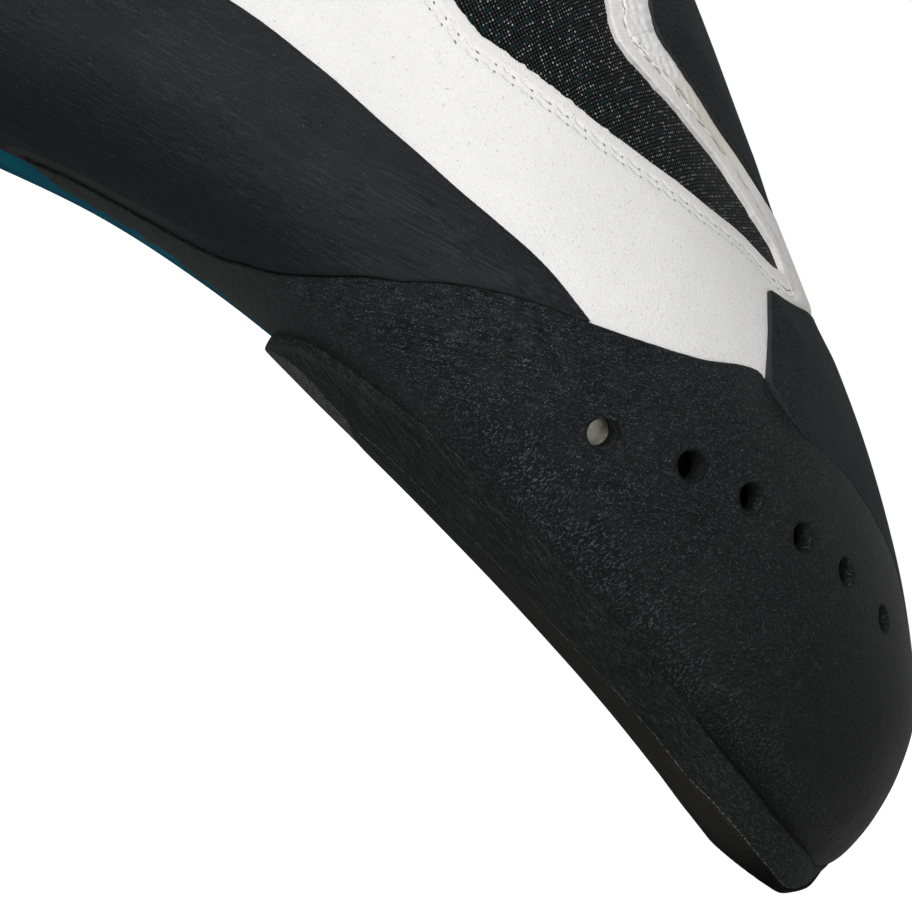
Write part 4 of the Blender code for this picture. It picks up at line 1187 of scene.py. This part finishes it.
def under_layer():
    """What shows through the vent holes: pale cloth at the rearmost one, and dark at the rest."""
    look = Look("under layer", roughness=0.9, specular=0.1)
    fine = look.noise(0.5 * MM, 4, 0.6)
    tone = look.mix(look.range(fine, 0.3, 0.7), (0.52, 0.50, 0.42), (0.66, 0.64, 0.55))
    dark = look.range(look.mark("station"), 6.62, 6.52)
    tone = look.mix(dark, tone, (0.0015, 0.0015, 0.0015))
    rear = look.range(look.mark("station"), 12.0, 12.2)
    tone = look.mix(rear, tone, (0.80, 0.795, 0.78))
    look.set(Base_Color=tone, Normal=look.bump(fine, 0.12 * MM))
    return look.material


def dress(made, material, slot, *nodes):
    made.data.materials.clear()
    made.data.materials.append(material)
    if nodes:
        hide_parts(*nodes)


def add_camera():
    turn = np.radians(CAMERA_AZIMUTH)
    tip = np.radians(CAMERA_ELEVATION)
    roll = np.radians(CAMERA_ROLL)
    right = np.array((np.cos(turn), np.sin(turn), 0.0))
    back = np.array((np.sin(turn) * np.cos(tip), -np.cos(turn) * np.cos(tip), np.sin(tip)))
    up = np.cross(back, right)
    across = np.cos(roll) * right + np.sin(roll) * up
    rise = np.cos(roll) * up - np.sin(roll) * right
    focal = CAMERA_DISTANCE / METRES_PER_PIXEL
    sideways = (TIP_PIXEL[0] - PICTURE[0] / 2) / focal
    upwards = (PICTURE[1] / 2 - TIP_PIXEL[1]) / focal
    where = TIP + CAMERA_DISTANCE * (back - across * sideways - rise * upwards)
    data = bpy.data.cameras.new("camera")
    data.sensor_width = 36.0
    data.lens = focal * data.sensor_width / PICTURE[0]
    data.clip_start = 0.01
    camera = add_object("camera", data)
    rows = [[float(way[k]) for way in (across, rise, back, where)] for k in range(3)]
    camera.matrix_world = Matrix(rows + [[0, 0, 0, 1]])
    bpy.context.scene.camera = camera
    return across, rise, back


def add_light(name, where, size, watts, towards=(0.0, 0.0, 0.05)):
    data = bpy.data.lights.new(name, "AREA")
    data.shape = "DISK"
    data.size = size
    data.energy = watts
    light = add_object(name, data)
    light.location = Vector(where)
    light.rotation_euler = (Vector(towards) - Vector(where)).to_track_quat("-Z", "Y").to_euler()


def add_studio(across, rise, back):
    world = bpy.data.worlds.new("studio")
    world.use_nodes = True
    bpy.context.scene.world = world
    tree = world.node_tree
    shade = tree.nodes["Background"]
    path = tree.nodes.new("ShaderNodeLightPath")
    strength = tree.nodes.new("ShaderNodeMapRange")
    strength.inputs["To Min"].default_value = 0.30
    strength.inputs["To Max"].default_value = 1.0
    tree.links.new(path.outputs["Is Camera Ray"], strength.inputs["Value"])
    tree.links.new(strength.outputs[0], shade.inputs["Strength"])
    shade.inputs["Color"].default_value = (1.0, 1.0, 1.0, 1.0)
    add_light("key", 0.70 * rise - 0.35 * across + 1.0 * back, 1.0, 13)
    add_light("fill", -0.35 * rise + 0.7 * across + 1.0 * back, 0.8, 5.5)
    mesh = bpy.data.meshes.new("floor")
    mesh.from_pydata([(-3, -3, 0), (3, -3, 0), (3, 3, 0), (-3, 3, 0)], [], [(0, 1, 2, 3)])
    floor = add_object("floor", mesh)
    look = Look("pale floor", roughness=0.9, specular=0.0)
    seen = look.node("LightPath").outputs["Is Camera Ray"]
    look.set(Base_Color=(0.5, 0.5, 0.5), Emission_Color=(1.0, 1.0, 1.0))
    look.set(Emission_Strength=look.range(seen, 0.0, 1.0, 0.05, 1.0))
    mesh.materials.append(look.material)


rough = rough_rubber()
white = microfibre()
tension = smooth_rubber("heel rand rubber", (0.0044, 0.0057, 0.0067), 0.52, 8, 0.60, 0.12, True)
patch_finish = smooth_rubber("toe patch rubber", (0.0052, 0.0060, 0.0064), 0.60, 30, 0.20, 0.75)
sole = sole_rubber()
dress(build_toe_rand(), rough, "rough_rubber", "toe_rand")
dress(build_heel_rand(), tension, "smooth_rubber", "heel_rand")
dress(build_toe_patch(), patch_finish, "smooth_rubber", "toe_patch")
dress(build_outsole_front(), sole, "sole_rubber", "outsole_front")
dress(build_outsole_heel(), sole, "sole_rubber", "outsole_heel")
teal = simple("teal midsole", (0.003, 0.260, 0.390), (0.001, 0.090, 0.135), 0.7, 0.4 * MM, 0.15 * MM, 0.05)
dress(build_midsole(), teal, "midsole", "midsole")
dress(build_outer_panel(), white, "microfibre", "upper")
dress(build_inner_panel(), torn_strip(), "microfibre", "upper")
dress(build_mesh_panel(), knit(), "microfibre", "upper")
lining = simple("lining", (0.66, 0.64, 0.55), (0.48, 0.46, 0.39), 0.9, 0.5 * MM, 0.12 * MM)
base, inside = build_lining()
dress(base, under_layer(), "microfibre", "upper")
dress(inside, lining, "microfibre", "upper")
dress(build_insole(), lining, "lining", "insole")
tape = simple("tape", (0.020, 0.020, 0.021), (0.012, 0.012, 0.013), 0.8, 0.4 * MM, 0.1 * MM)
dress(build_binding(), tape, "tape", "collar_binding")

add_studio(*add_camera())
bpy.context.scene.view_settings.view_transform = "Standard"
